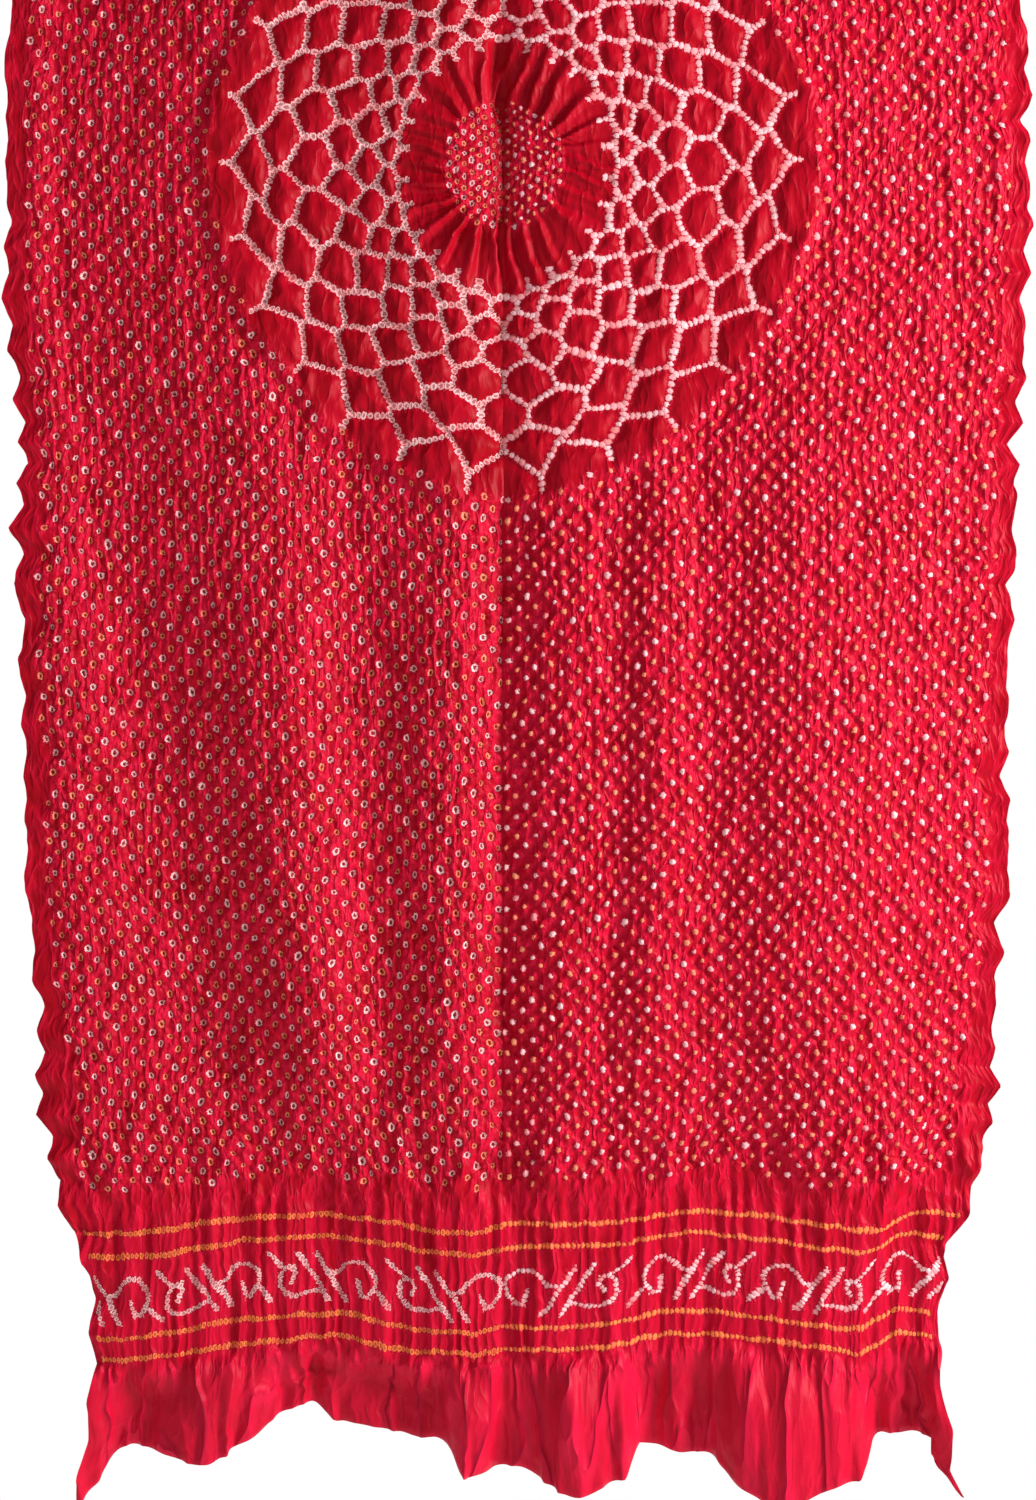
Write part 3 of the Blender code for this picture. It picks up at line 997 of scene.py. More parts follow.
def ties_of_faces(across, below, net_segments, vine_segments, dot_width, dot_height, line_pitch, seed):
    """For each corner of each face, where it lies from the face's nearest dot, and what that dot is.

    tie holds the place along the row of dots, counted in dots with a dot's centre at a half, the
    distance off the row, and the pitch of the row. thread holds half the dot's size along and off
    the row, and a code: 1 for a ring and 0 for a knob, plus twice the number of its colour.
    """
    corners = ((0, 0), (1, 0), (1, 1), (0, 1))
    height, width = across.shape

    def at_corner(values, step_down, step_right):
        return values[step_down : height - 1 + step_down, step_right : width - 1 + step_right].ravel()

    x = across * half_width_at(np.abs(below))
    corner_x = np.stack([at_corner(x, *corner) for corner in corners], axis=1)
    corner_below = np.stack([at_corner(below, *corner) for corner in corners], axis=1)
    corner_side = np.abs(corner_x)
    centre_x, centre_below = corner_x.mean(axis=1), corner_below.mean(axis=1)
    side, distance = np.abs(centre_x), np.abs(centre_below)
    hollow = np.where(centre_x < 0.0, 1.0, 0.0)
    count = len(centre_x)
    tie = np.empty((count, 4, 3))
    tie[...] = (0.5, NOWHERE, line_pitch)
    thread = np.tile((dot_width, dot_height, 0.0), (count, 1))

    def place_dots(chosen, dot_side, dot_level, number, half_size, code):
        along = (corner_side[chosen] - dot_side[chosen, None]) / LONE_PITCH
        tie[chosen, :, 0] = number[chosen, None] + 0.5 + along
        tie[chosen, :, 1] = corner_below[chosen] - dot_level[chosen, None]
        tie[chosen, :, 2] = LONE_PITCH
        drawn_in = np.where(hollow[chosen] > 0.0, 1.0, KNOB_SHARE)
        drawn_in = drawn_in * np.where(code[chosen] < 2.0, 1.0, ORANGE_SHARE)
        thread[chosen, 0] = half_size[0] * drawn_in
        thread[chosen, 1] = half_size[1] * drawn_in
        thread[chosen, 2] = code[chosen]

    share = side / half_width_at(distance)
    dot_side, dot_level, number, diagonal, present = nearest_field_dot(share, centre_below, seed)
    colour = np.mod(diagonal, 2.0)
    place_dots(present, dot_side, dot_level, number, (dot_width, dot_height), hollow + 2.0 * colour)

    dot_side, dot_level, number, diagonal, present = nearest_medallion_dot(side, centre_below)
    colour = np.mod(diagonal, 2.0)
    half_size = (DOTTED_SHARE * dot_width, DOTTED_SHARE * dot_height)
    place_dots(present, dot_side, dot_level, number, half_size, hollow + 2.0 * colour)

    def place_chains(chosen, level, corner_level, segments, reach):
        chosen = np.flatnonzero(chosen)
        found, _ = nearest_segment(side[chosen], level[chosen], segments, reach)
        chosen, found = chosen[found >= 0], found[found >= 0]
        from_x = corner_side[chosen] - segments.x0[found, None]
        from_y = corner_level[chosen] - segments.y0[found, None]
        along_x, along_y = segments.along_x[found, None], segments.along_y[found, None]
        along = (from_x * along_x + from_y * along_y) / segments.pitch[found, None]
        tie[chosen, :, 0] = segments.number[found, None] + segments.first[found, None] + along
        tie[chosen, :, 1] = from_x * along_y - from_y * along_x
        tie[chosen, :, 2] = segments.pitch[found, None]
        thread[chosen, 0] = CHAIN_DOT_WIDTH * segments.pitch[found]
        thread[chosen, 1] = segments.radius[found]
        thread[chosen, 2] = CHAIN_HOLLOW * hollow[chosen]

    near_net = (oval_distance(side, centre_below, HALO, HALO_SQUARENESS) < 1.1) & (
        oval_distance(side, centre_below, DOTTED_OVAL) > 1.15
    )
    place_chains(near_net, centre_below, corner_below, net_segments, NET_REACH)
    in_vine = (np.abs(distance - VINE_MIDDLE) < VINE_BAND) & (side < half_width_at(distance) - VINE_INSET)
    place_chains(in_vine, distance, np.abs(corner_below), vine_segments, VINE_REACH)

    for line in YELLOW_LINES:
        off = np.abs(corner_below) - line - line_waver(corner_side, line, seed)
        chosen = (np.abs(off.mean(axis=1)) < LINE_REACH) & (side < half_width_at(distance) - LINE_INSET)
        tie[chosen, :, 0] = 500.0 * line + corner_side[chosen] / line_pitch
        tie[chosen, :, 1] = off[chosen]
        tie[chosen, :, 2] = line_pitch
        thread[chosen, 0] = LINE_DOT_WIDTH * line_pitch
        thread[chosen, 1] = LINE_DOT_HEIGHT
        thread[chosen, 2] = LINE_HOLLOW * hollow[chosen] + 2.0 * YELLOW
    return tie.reshape(height - 1, width - 1, 4, 3), thread.reshape(height - 1, width - 1, 3)


def add_attribute(mesh, name, domain, values):
    """Stores a vector or a number on each element of a domain of the mesh."""
    kind = "FLOAT_VECTOR" if values.ndim == 2 else "FLOAT"
    attribute = mesh.attributes.new(name, kind, domain)
    field = "vector" if kind == "FLOAT_VECTOR" else "value"
    attribute.data.foreach_set(field, values.astype(np.float32).ravel())


def make_panel(name, cloth, rows, columns):
    """One panel of the cloth: the faces between two rows and two columns of the grid.

    Its normals are the whole cloth's, so no seam shows where two panels meet. The map for baking
    is the panel as a plain rectangle.
    """
    top, bottom = rows
    left, right = columns
    points = cloth.points[top : bottom + 1, left : right + 1]
    normals = cloth.normals[top : bottom + 1, left : right + 1]
    height, width = points.shape[0] - 1, points.shape[1] - 1
    index = np.arange((height + 1) * (width + 1)).reshape(height + 1, width + 1)
    faces = np.stack([index[:-1, :-1], index[1:, :-1], index[1:, 1:], index[:-1, 1:]], axis=-1).reshape(-1, 4)

    mesh = bpy.data.meshes.new(name)
    mesh.vertices.add(index.size)
    mesh.vertices.foreach_set("co", points.astype(np.float32).ravel())
    mesh.loops.add(faces.size)
    mesh.loops.foreach_set("vertex_index", faces.astype(np.int32).ravel())
    mesh.polygons.add(len(faces))
    mesh.polygons.foreach_set("loop_start", np.arange(0, faces.size, 4, dtype=np.int32))
    mesh.update(calc_edges=True)

    part = (slice(top, bottom), slice(left, right))
    around = (slice(top, bottom + 1), slice(left, right + 1))
    add_attribute(mesh, "tie", "CORNER", cloth.tie[part].reshape(-1, 3))
    add_attribute(mesh, "thread", "FACE", cloth.thread[part].reshape(-1, 3))
    add_attribute(mesh, "flat", "POINT", cloth.flat[around].reshape(-1, 3))
    add_attribute(mesh, "sheer", "POINT", cloth.sheer[around].ravel())
    add_attribute(mesh, "pucker", "POINT", cloth.pucker[around].ravel())
    share_right = (faces % (width + 1)) / width
    share_down = (faces // (width + 1)) / height
    bake_map = mesh.uv_layers.new(name="OFBake")
    places = np.stack([share_right, 1.0 - share_down], axis=-1)
    bake_map.uv.foreach_set("vector", places.astype(np.float32).ravel())
    mesh.shade_smooth()
    mesh.normals_split_custom_set_from_vertices(normals.reshape(-1, 3).tolist())
    panel = bpy.data.objects.new(name, mesh)
    bpy.context.scene.collection.objects.link(panel)
    return panel


def compute(tree, operation, *values):
    """A Math node, with each value set or linked. Its result is returned."""
    node = tree.nodes.new("ShaderNodeMath")
    node.operation = operation
    for socket, value in zip(node.inputs, values):
        feed(tree, socket, value)
    return node.outputs["Value"]


def feed(tree, socket, value):
    """Links a socket to another node's result, or sets it to a plain value."""
    if isinstance(value, bpy.types.NodeSocket):
        tree.links.new(value, socket)
    else:
        socket.default_value = value


def ramp(tree, value, start, end):
    """A smooth step of the value: 0 at start and 1 at end."""
    node = tree.nodes.new("ShaderNodeMapRange")
    node.interpolation_type = "SMOOTHSTEP"
    feed(tree, node.inputs["Value"], value)
    feed(tree, node.inputs["From Min"], start)
    feed(tree, node.inputs["From Max"], end)
    return node.outputs["Result"]


def mix(tree, share, first, second):
    """A mix of two colours."""
    node = tree.nodes.new("ShaderNodeMix")
    node.data_type = "RGBA"
    feed(tree, node.inputs["Factor"], share)
    feed(tree, node.inputs[6], first)
    feed(tree, node.inputs[7], second)
    return node.outputs[2]


def read_attribute(tree, name):
    """The vector and the number of an attribute of the panel."""
    node = tree.nodes.new("ShaderNodeAttribute")
    node.attribute_name = name
    return node.outputs["Vector"], node.outputs["Fac"]


def separate(tree, vector):
    """The three parts of a vector."""
    node = tree.nodes.new("ShaderNodeSeparateXYZ")
    tree.links.new(vector, node.inputs["Vector"])
    return node.outputs["X"], node.outputs["Y"], node.outputs["Z"]


def stretched_noise(tree, flat, stain):
    """Noise whose blots are about as wide and as high as the stain's, in metres on the cloth."""
    mapping = tree.nodes.new("ShaderNodeMapping")
    mapping.inputs["Scale"].default_value = (1.0 / stain.across, 1.0 / stain.down, 1.0)
    tree.links.new(flat, mapping.inputs["Vector"])
    node = tree.nodes.new("ShaderNodeTexNoise")
    node.inputs["Scale"].default_value = 1.0
    node.inputs["Detail"].default_value = stain.detail
    tree.links.new(mapping.outputs["Vector"], node.inputs["Vector"])
    return node.outputs["Fac"], node.outputs["Color"]


def sharp_crests(tree, value, power):
    """Crests from 0 to 1 where noise passes its middle: 1 less its steepened distance from it, to a power."""
    away = compute(tree, "ABSOLUTE", compute(tree, "MULTIPLY_ADD", value, CREST_SLOPE, -0.5 * CREST_SLOPE))
    crest = compute(tree, "MAXIMUM", compute(tree, "SUBTRACT", 1.0, away), 0.0)
    return compute(tree, "POWER", crest, power)


def times(tree, first, second):
    """Two values multiplied."""
    return compute(tree, "MULTIPLY", first, second)


def plus_share(tree, total, value, share):
    """A share of a value, added to a total."""
    return compute(tree, "MULTIPLY_ADD", value, share, total)


def one_less(tree, value):
    """1 less a value."""
    return compute(tree, "SUBTRACT", 1.0, value)


Dot = namedtuple("Dot", "radius inside hole speck ray hollow colour_number fade_chance pink_chance")


def nearest_dot(tree, flat):
    """The dot that a point of the cloth lies on or near, from the attributes tie and thread.

    radius is the distance from its centre over its own half size, as on an oval that is a lump more
    or less out of round. inside is 1 on the dot. hole is 1 in the slit of a ring, speck on the tip
    of some knobs, and ray on the creases that spread from it: a cosine of the angle round it, to a
    power, that fades away from its rim.
    """
    tie, _ = read_attribute(tree, "tie")
    thread, _ = read_attribute(tree, "thread")
    along, off, pitch = separate(tree, tie)
    half_along, half_off, code = separate(tree, thread)

    chance = tree.nodes.new("ShaderNodeTexWhiteNoise")
    chance.noise_dimensions = "1D"
    tree.links.new(compute(tree, "FLOOR", along), chance.inputs["W"])
    first, second, third = separate(tree, chance.outputs["Color"])
    _, lumps = stretched_noise(tree, flat, LUMPS)
    lump_x, lump_y, _ = separate(tree, lumps)

    from_centre = times(tree, compute(tree, "SUBTRACT", compute(tree, "FRACT", along), 0.5), pitch)
    shift_along = compute(tree, "MULTIPLY_ADD", lump_x, LUMP_SHIFT, -0.5 * LUMP_SHIFT)
    shift_off = compute(tree, "MULTIPLY_ADD", lump_y, LUMP_SHIFT, -0.5 * LUMP_SHIFT)
    from_centre = compute(tree, "ADD", from_centre, shift_along)
    off_centre = compute(tree, "ADD", off, shift_off)
    size = compute(tree, "MULTIPLY_ADD", first, DOT_SIZE_RANGE, DOT_SMALLEST)

    def oval(wide, high):
        share_x = compute(tree, "DIVIDE", from_centre, times(tree, times(tree, half_along, size), wide))
        share_y = compute(tree, "DIVIDE", off_centre, times(tree, times(tree, half_off, size), high))
        total = compute(tree, "MULTIPLY_ADD", share_x, share_x, times(tree, share_y, share_y))
        return compute(tree, "SQRT", total)

    radius = oval(1.0, 1.0)
    inside = ramp(tree, radius, *DOT_RIM)
    slit = ramp(tree, oval(*SLIT_SIZE), *SLIT_RIM)
    hollow = compute(tree, "MODULO", code, 2.0)
    colour_number = compute(tree, "FLOOR", compute(tree, "DIVIDE", code, 2.0))
    has_speck = compute(tree, "GREATER_THAN", second, 1.0 - SPECK_CHANCE)
    speck = times(tree, times(tree, ramp(tree, radius, *SPECK_RIM), has_speck), one_less(tree, hollow))

    angle = compute(tree, "ARCTAN2", off_centre, from_centre)
    phase = times(tree, compute(tree, "ADD", first, third), 2.0 * math.pi)
    ray = compute(tree, "COSINE", compute(tree, "MULTIPLY_ADD", angle, RAYS, phase))
    ray = compute(tree, "POWER", compute(tree, "MULTIPLY_ADD", ray, 0.5, 0.5), RAY_POWER)
    fading = times(tree, ramp(tree, radius, RAY_REACH, 1.2), ramp(tree, radius, 0.9, 1.3))
    ray = times(tree, ray, fading)
    return Dot(radius, inside, times(tree, slit, hollow), speck, ray, hollow, colour_number, second, third)


Creases = namedtuple(
    "Creases", "fine long soft pleats ruffles crinkled crumpled gathered patches threads weft"
)


def creases_of_cloth(tree, flat, ends):
    """The creases and stains of the ground, and how much of each kind the cloth has at a point.

    pucker runs from 0 to 1 from crumpled cloth to crinkled cloth, and on to 2 in the gathered border.
    """
    _, pucker = read_attribute(tree, "pucker")
    wrinkles, _ = stretched_noise(tree, flat, WRINKLES)
    threads, _ = stretched_noise(tree, flat, THREADS)
    creases, _ = stretched_noise(tree, flat, CREASES)
    pleats, _ = stretched_noise(tree, flat, PLEATS)
    patches, _ = stretched_noise(tree, flat, PATCHES)
    ruffles, _ = stretched_noise(tree, flat, END_RUFFLES)
    weft, _ = stretched_noise(tree, flat, WEFT)
    gathered = compute(tree, "MAXIMUM", compute(tree, "SUBTRACT", pucker, 1.0), 0.0)
    crinkled_share = compute(tree, "MINIMUM", pucker, 1.0)
    crumpled = one_less(tree, crinkled_share)
    not_gathered = compute(tree, "MULTIPLY_ADD", gathered, -GATHERED_CALM, 1.0)
    crinkled_share = times(tree, crinkled_share, not_gathered)
    return Creases(
        sharp_crests(tree, wrinkles, WRINKLES.power),
        times(tree, sharp_crests(tree, threads, THREADS.power), crinkled_share),
        times(tree, sharp_crests(tree, creases, CREASES.power), crumpled),
        sharp_crests(tree, pleats, PLEATS.power),
        times(tree, sharp_crests(tree, ruffles, END_RUFFLES.power), ends),
        crinkled_share,
        crumpled,
        gathered,
        patches,
        threads,
        weft,
    )


def ground_colour(tree, dyes, flat, ends, creases, dot):
    """The red of the ground: painted shade of deep red between its crests and pleats, darker in patches
    and in calm cloth, and a painted highlight of bright red on its crests.
    """
    right, _, _ = separate(tree, flat)
    # Painted shade: deep red between the crests of the fine wrinkles, then darker random patches, both weaker
    # in the right half
    depth = times(tree, one_less(tree, creases.fine), creases.crinkled)
    depth = times(tree, depth, WRINKLE_SHADE)
    depth = plus_share(tree, depth, ramp(tree, creases.patches, 0.62, 0.38), PATCH_DEPTH)
    lighter = compute(tree, "MULTIPLY_ADD", ramp(tree, right, 0.0, 0.03), -RIGHT_LIGHTER, 1.0)
    depth = times(tree, depth, lighter)
    calm_depth = compute(tree, "MULTIPLY_ADD", ends, -END_LIGHTER, CALM_DEPTH)
    depth = plus_share(tree, depth, creases.crumpled, calm_depth)
    # Painted shade between the pleats of the gathered border
    in_pleat = times(tree, one_less(tree, creases.pleats), creases.gathered)
    depth = plus_share(tree, depth, in_pleat, PLEAT_SHADE)
    slubs = times(tree, ramp(tree, creases.weft, 0.42, 0.62), ends)
    depth = plus_share(tree, depth, slubs, WEFT_DEPTH)
    mottled = times(tree, ramp(tree, creases.threads, 0.46, 0.58), ends)
    depth = plus_share(tree, depth, mottled, PATCHED_END_DEPTH)
    ground = mix(tree, depth, tuple(dyes.ground), tuple(dyes.deep))

    # Painted highlight: bright red on the crests of threads, pleats, ruffles and rays; the plain ends are
    # also made lighter all over
    lit = times(tree, creases.long, THREAD_HIGHLIGHT)
    lit = plus_share(tree, lit, times(tree, creases.pleats, creases.gathered), PLEAT_HIGHLIGHT)
    lit = plus_share(tree, lit, creases.ruffles, RUFFLE_HIGHLIGHT)
    lit = plus_share(tree, lit, dot.ray, RAY_HIGHLIGHT)
    lit = plus_share(tree, lit, ends, END_LIGHT)
    return mix(tree, lit, ground, tuple(dyes.crest))


def dot_colour(tree, dyes, flat, creases, dot):
    """The colour of a dot: its own dye, painted lighter in the left half as painted light, faded by chance
    and near the border, and red at its rim, as dye and painted shade, and at its slit.
    """
    _, down, _ = separate(tree, flat)
    pale = mix(tree, times(tree, dot.pink_chance, dot.pink_chance), tuple(dyes.cream), tuple(dyes.pink))
    # Painted light: the dots of the left half get a lighter cream, where the cloth is lit less
    pale = mix(tree, times(tree, dot.hollow, LEFT_PAINTED_LIGHT), pale, tuple(dyes.painted_light_cream))
    pale = mix(tree, compute(tree, "MINIMUM", dot.colour_number, 1.0), pale, tuple(dyes.orange))
    in_line = compute(tree, "MAXIMUM", compute(tree, "SUBTRACT", dot.colour_number, 1.0), 0.0)
    pale = mix(tree, in_line, pale, tuple(dyes.yellow))

    from_middle = compute(tree, "ABSOLUTE", compute(tree, "SUBTRACT", down, MIDDLE))
    in_patch = ramp(tree, creases.patches, 0.35, 0.62)
    in_patch = times(tree, in_patch, ramp(tree, from_middle, FIELD_END, FIELD_STOP))
    in_patch = times(tree, in_patch, ramp(tree, from_middle, FIELD_STOP + 0.010, FIELD_STOP))
    faded = times(tree, times(tree, dot.fade_chance, dot.fade_chance), FADED)
    faded = compute(tree, "MAXIMUM", faded, times(tree, in_patch, FADED_IN_PATCH))
    pale = mix(tree, faded, pale, tuple(dyes.crest))

    # The rim: red that is partly dye seeped into the dot and partly painted shade at its edge, less on rings
    rim_share = compute(tree, "MULTIPLY_ADD", dot.hollow, -RING_RIM_LESS, RIM_DYE_AND_SHADE)
    pale = mix(tree, times(tree, ramp(tree, dot.radius, 0.60, 1.0), rim_share), pale, tuple(dyes.crest))
    pale = mix(tree, times(tree, dot.hole, HOLE_DYED), pale, tuple(dyes.deep))
    return mix(tree, times(tree, dot.speck, SPECK_DYED), pale, tuple(dyes.orange))


def painted_shade_of_fold(tree, flat):
    """Where shade is painted: 1 in the deep fold down the middle of the dotted oval, and 0 away from it."""
    right, down, _ = separate(tree, flat)
    from_fold = compute(tree, "ABSOLUTE", compute(tree, "ADD", right, FOLD_LEFT))
    from_medallion = compute(tree, "ABSOLUTE", compute(tree, "SUBTRACT", down, MIDDLE + MEDALLION_CENTRE))
    return times(tree, ramp(tree, from_fold, *FOLD_SIDES), ramp(tree, from_medallion, *FOLD_ENDS))


def bump_of_cloth(tree, flat, creases, dot):
    """The height of domes, slits, crests and grain, in metres, as a bumped normal."""
    dome = times(tree, dot.inside, compute(tree, "MULTIPLY_ADD", dot.radius, -DOME_FALL, DOME_BUMP))
    dome = times(tree, dome, compute(tree, "MULTIPLY_ADD", dot.hollow, -RING_FLATTER, 1.0))
    dome = compute(tree, "SUBTRACT", dome, times(tree, dot.hole, HOLE_BUMP))
    crinkle = times(tree, times(tree, creases.fine, creases.crinkled), WRINKLE_BUMP)
    crinkle = plus_share(tree, crinkle, creases.long, THREAD_BUMP)
    crinkle = plus_share(tree, crinkle, creases.soft, CREASE_BUMP)
    crinkle = plus_share(tree, crinkle, times(tree, creases.pleats, creases.gathered), PLEAT_BUMP)
    crinkle = plus_share(tree, crinkle, creases.ruffles, RUFFLE_BUMP)
    crinkle = plus_share(tree, crinkle, dot.ray, RAY_BUMP)
    crinkle = times(tree, crinkle, one_less(tree, dot.inside))
    grain, _ = stretched_noise(tree, flat, GRAIN)
    height = compute(tree, "ADD", compute(tree, "ADD", dome, crinkle), times(tree, grain, GRAIN_BUMP))
    bump = tree.nodes.new("ShaderNodeBump")
    bump.inputs["Strength"].default_value = 1.0
    bump.inputs["Distance"].default_value = 1.0
    tree.links.new(height, bump.inputs["Height"])
    return bump.outputs["Normal"]


def cloth_material(name, dyes, sheer_share):
    """Fine red cloth with its tied dots.

    A knob is a pale dome, and a ring is a pale rim round a dark slit. Where there is no dot, the
    ground is crinkled down the cloth, with a painted highlight on its crests and painted shade in its depths.
    """
    material = bpy.data.materials.new(name)
    material.use_nodes = True
    tree = material.node_tree
    shader = tree.nodes["Principled BSDF"]

    flat, _ = read_attribute(tree, "flat")
    _, ends = read_attribute(tree, "sheer")
    dot = nearest_dot(tree, flat)
    creases = creases_of_cloth(tree, flat, ends)
    ground = ground_colour(tree, dyes, flat, ends, creases, dot)
    colour = mix(tree, dot.inside, ground, dot_colour(tree, dyes, flat, creases, dot))
    # Painted shade: deep red down the fold in the middle of the dotted oval
    colour = mix(tree, times(tree, painted_shade_of_fold(tree, flat), FOLD_PAINTED_SHADE), colour, tuple(dyes.deep))
    tree.links.new(colour, shader.inputs["Base Color"])
    tree.links.new(bump_of_cloth(tree, flat, creases, dot), shader.inputs["Normal"])
    roughness = compute(tree, "MULTIPLY_ADD", dot.inside, DOT_ROUGHER, GROUND_ROUGHNESS)
    tree.links.new(roughness, shader.inputs["Roughness"])
    shader.inputs["Specular IOR Level"].default_value = 0.08
    shader.inputs["Sheen Weight"].default_value = 0.10
    shader.inputs["Sheen Roughness"].default_value = 0.35
    shader.inputs["Sheen Tint"].default_value = (1.0, 0.05, 0.12, 1.0)
    if sheer_share > 0.0:
        tree.links.new(compute(tree, "MULTIPLY_ADD", ends, -sheer_share, 1.0), shader.inputs["Alpha"])
    return material


def settings_of_cloth(scene):
    """The whole cloth that the current settings give."""
    ties = scene.bandhani_ties
    return whole_cloth(
        ties.knob_height,
        ties.ridge_height,
        ties.dot_width,
        ties.dot_height,
        ties.chain_pitch,
        ties.line_pitch,
        ties.pleat_height,
        ties.puff,
        ties.unevenness,
        ties.seed,
    )


def lay_panels(scene, names, bands, material_name, sheer_share):
    cloth = settings_of_cloth(scene)
    material = cloth_material(material_name, scene.bandhani_dyes, sheer_share)
    halves = (("left", 0, HALF_COLUMNS), ("right", HALF_COLUMNS, 2 * HALF_COLUMNS))
    for name, (top, bottom) in zip(names, bands):
        for half, left, right in halves:
            panel = make_panel(f"{name}_{half}", cloth, (top, bottom), (left, right))
            panel.data.materials.append(material)
            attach(panel, "root")
            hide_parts("cloth")


class BANDHANI_OT_medallion(Operator):
    """Lays the four panels round the middle of the cloth, with the medallion"""

    bl_idname = "bandhani.medallion"
    bl_label = "Lay the medallion panels"

    def execute(self, context):
        lay_panels(
            context.scene,
            ("upper_medallion", "lower_medallion"),
            ((CUTS[2], CUTS[3]), (CUTS[3], CUTS[4])),
            "tied_cloth_medallion",
            0.0,
        )
        return {"FINISHED"}


class BANDHANI_OT_field(Operator):
    """Lays the four panels of the dotted field above and below the medallion"""

    bl_idname = "bandhani.field"
    bl_label = "Lay the field panels"

    def execute(self, context):
        lay_panels(
            context.scene,
            ("upper_field", "lower_field"),
            ((CUTS[1], CUTS[2]), (CUTS[4], CUTS[5])),
            "tied_cloth_field",
            0.0,
        )
        return {"FINISHED"}


class BANDHANI_OT_ends(Operator):
    """Lays the four end panels, with the border and the plain end below it"""

    bl_idname = "bandhani.ends"
    bl_label = "Lay the end panels"

    def execute(self, context):
        lay_panels(
            context.scene,
            ("upper_end", "lower_end"),
            ((CUTS[0], CUTS[1]), (CUTS[5], CUTS[6])),
            "tied_cloth_ends",
            context.scene.bandhani_dyes.sheerness,
        )
        return {"FINISHED"}


def add_area_light(name, place, target, size, power):
    """A square light that faces the target."""
    light = bpy.data.lights.new(name, "AREA")
    light.size = size
    light.energy = power
    lamp = bpy.data.objects.new(name, light)
    lamp.location = place
    lamp.rotation_euler = (Vector(target) - Vector(place)).to_track_quat("-Z", "Y").to_euler()
    bpy.context.scene.collection.objects.link(lamp)
    return lamp


def add_floor(level):
    """A round pale floor: a fan of faces round its middle."""
    angles = np.linspace(0.0, 2.0 * np.pi, FLOOR_SIDES + 1)[:-1]
    rim = [(FLOOR_RADIUS * math.cos(angle), FLOOR_RADIUS * math.sin(angle), level) for angle in angles]
    points = [(0.0, 0.0, level)] + rim
    faces = [(0, 1 + step, 1 + (step + 1) % FLOOR_SIDES) for step in range(FLOOR_SIDES)]
    mesh = bpy.data.meshes.new("floor")
    mesh.from_pydata(points, [], faces)
    floor = bpy.data.objects.new("floor", mesh)
    bpy.context.scene.collection.objects.link(floor)
    material = bpy.data.materials.new("pale_floor")
    material.use_nodes = True
    shader = material.node_tree.nodes["Principled BSDF"]
    shader.inputs["Base Color"].default_value = (0.90, 0.90, 0.89, 1.0)
    shader.inputs["Roughness"].default_value = 0.9
    shader.inputs["Emission Color"].default_value = (1.0, 1.0, 1.0, 1.0)
    shader.inputs["Emission Strength"].default_value = 0.45
    mesh.materials.append(material)
    return floor


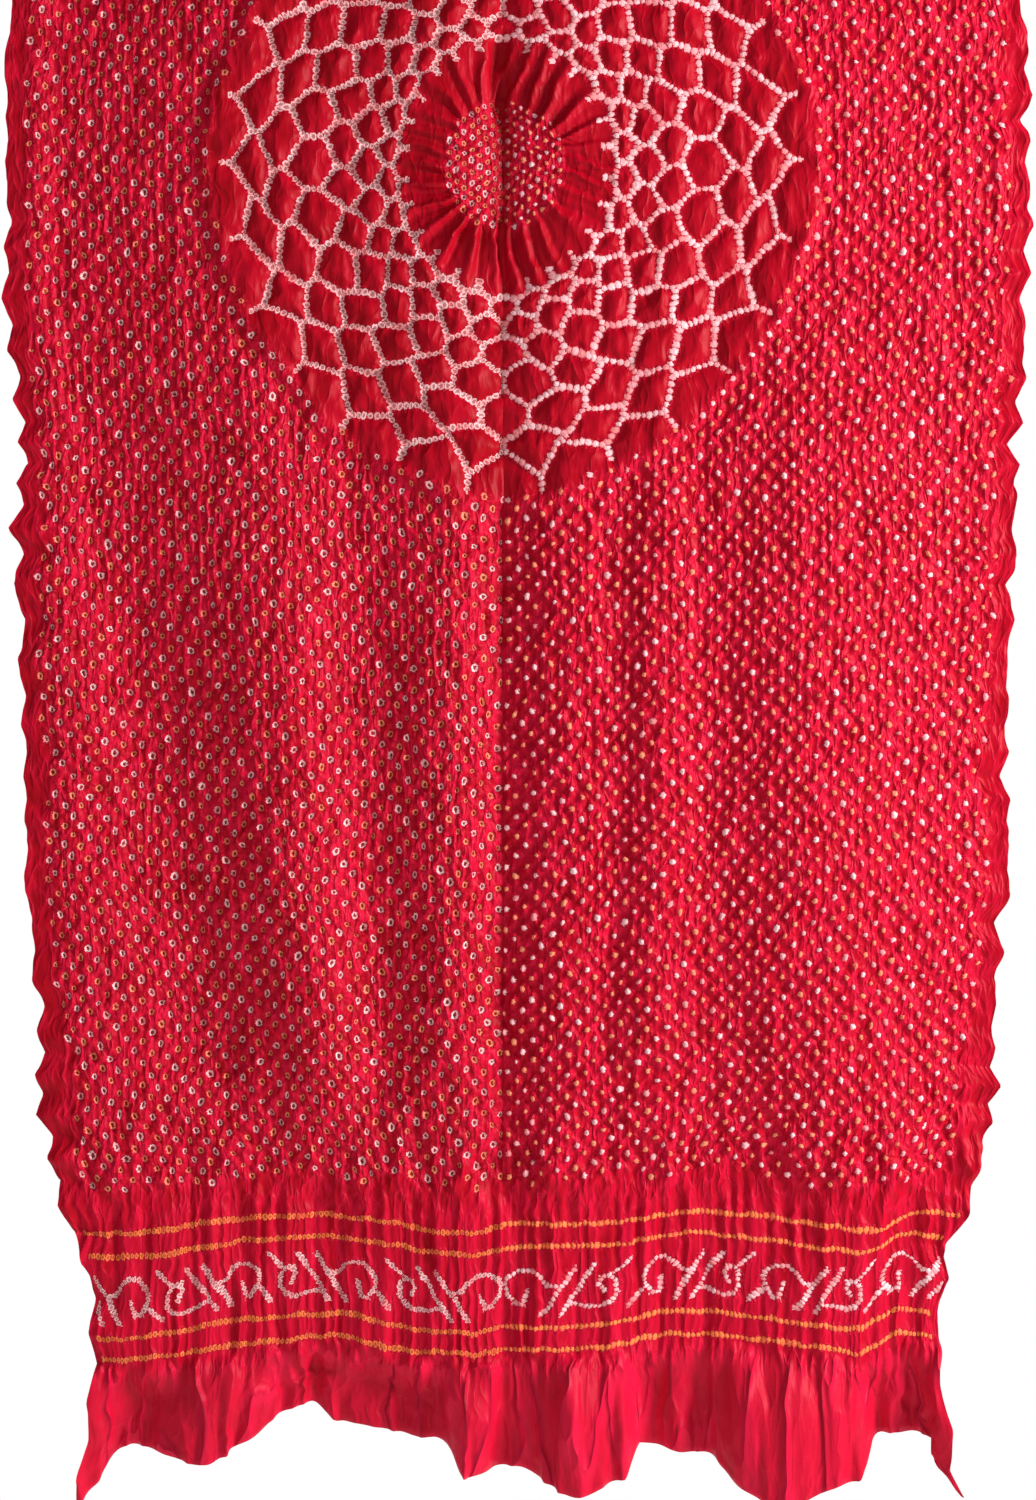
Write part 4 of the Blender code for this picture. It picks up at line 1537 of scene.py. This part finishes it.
class BANDHANI_OT_stage(Operator):
    """Sets the floor, the lights, the background and the camera"""

    bl_idname = "bandhani.stage"
    bl_label = "Set the stage"

    def execute(self, context):
        stage = context.scene.bandhani_stage
        add_floor(CAD_BOX[0].z - stage.floor_drop)
        add_area_light("key", KEY_PLACE, KEY_TARGET, KEY_SIZE, stage.key_power)
        add_area_light("fill", FILL_PLACE, FILL_TARGET, FILL_SIZE, stage.fill_power)
        add_area_light("back", BACK_PLACE, BACK_TARGET, BACK_SIZE, BACK_POWER)

        world = bpy.data.worlds.new("white_air")
        world.use_nodes = True
        tree = world.node_tree
        background = tree.nodes["Background"]
        background.inputs["Color"].default_value = (1.0, 1.0, 1.0, 1.0)
        rays = tree.nodes.new("ShaderNodeLightPath")
        strength = compute(tree, "MULTIPLY_ADD", rays.outputs["Is Camera Ray"], 1.0 - stage.air, stage.air)
        tree.links.new(strength, background.inputs["Strength"])
        context.scene.world = world
        context.scene.view_settings.view_transform = "Standard"

        camera = bpy.data.cameras.new("camera")
        camera.sensor_fit = "VERTICAL"
        camera.sensor_height = SENSOR_HEIGHT
        camera.lens = SENSOR_HEIGHT * CAMERA_DISTANCE / PICTURE_HEIGHT
        holder = bpy.data.objects.new("camera", camera)
        holder.location = (PICTURE_ACROSS, -CAMERA_DISTANCE, -PICTURE_DOWN)
        holder.rotation_euler = (math.pi / 2.0, 0.0, 0.0)
        context.scene.collection.objects.link(holder)
        context.scene.camera = holder
        return {"FINISHED"}


class BANDHANI_PT_panel(Panel):
    """The settings and the steps of the dupatta"""

    bl_idname = "BANDHANI_PT_panel"
    bl_label = "Bandhani dupatta"
    bl_space_type = "VIEW_3D"
    bl_region_type = "UI"
    bl_category = "Bandhani"

    def draw(self, context):
        layout = self.layout
        for group in (context.scene.bandhani_ties, context.scene.bandhani_dyes, context.scene.bandhani_stage):
            box = layout.box()
            for name in group.__annotations__:
                box.prop(group, name)
        for operator in OPERATORS:
            layout.operator(operator.bl_idname)


GROUPS = (BANDHANI_PG_ties, BANDHANI_PG_dyes, BANDHANI_PG_stage)
OPERATORS = (BANDHANI_OT_medallion, BANDHANI_OT_field, BANDHANI_OT_ends, BANDHANI_OT_stage)


def register():
    """Registers the classes and hangs the settings on the scene."""
    for cls in (*GROUPS, *OPERATORS, BANDHANI_PT_panel):
        bpy.utils.register_class(cls)
    bpy.types.Scene.bandhani_ties = PointerProperty(type=BANDHANI_PG_ties)
    bpy.types.Scene.bandhani_dyes = PointerProperty(type=BANDHANI_PG_dyes)
    bpy.types.Scene.bandhani_stage = PointerProperty(type=BANDHANI_PG_stage)


def unregister():
    """Takes the settings and the classes away again."""
    del bpy.types.Scene.bandhani_stage
    del bpy.types.Scene.bandhani_dyes
    del bpy.types.Scene.bandhani_ties
    for cls in reversed((*GROUPS, *OPERATORS, BANDHANI_PT_panel)):
        bpy.utils.unregister_class(cls)


def main():
    register()
    bpy.ops.bandhani.medallion()
    bpy.ops.bandhani.field()
    bpy.ops.bandhani.ends()
    bpy.ops.bandhani.stage()


if __name__ == "__main__":
    main()
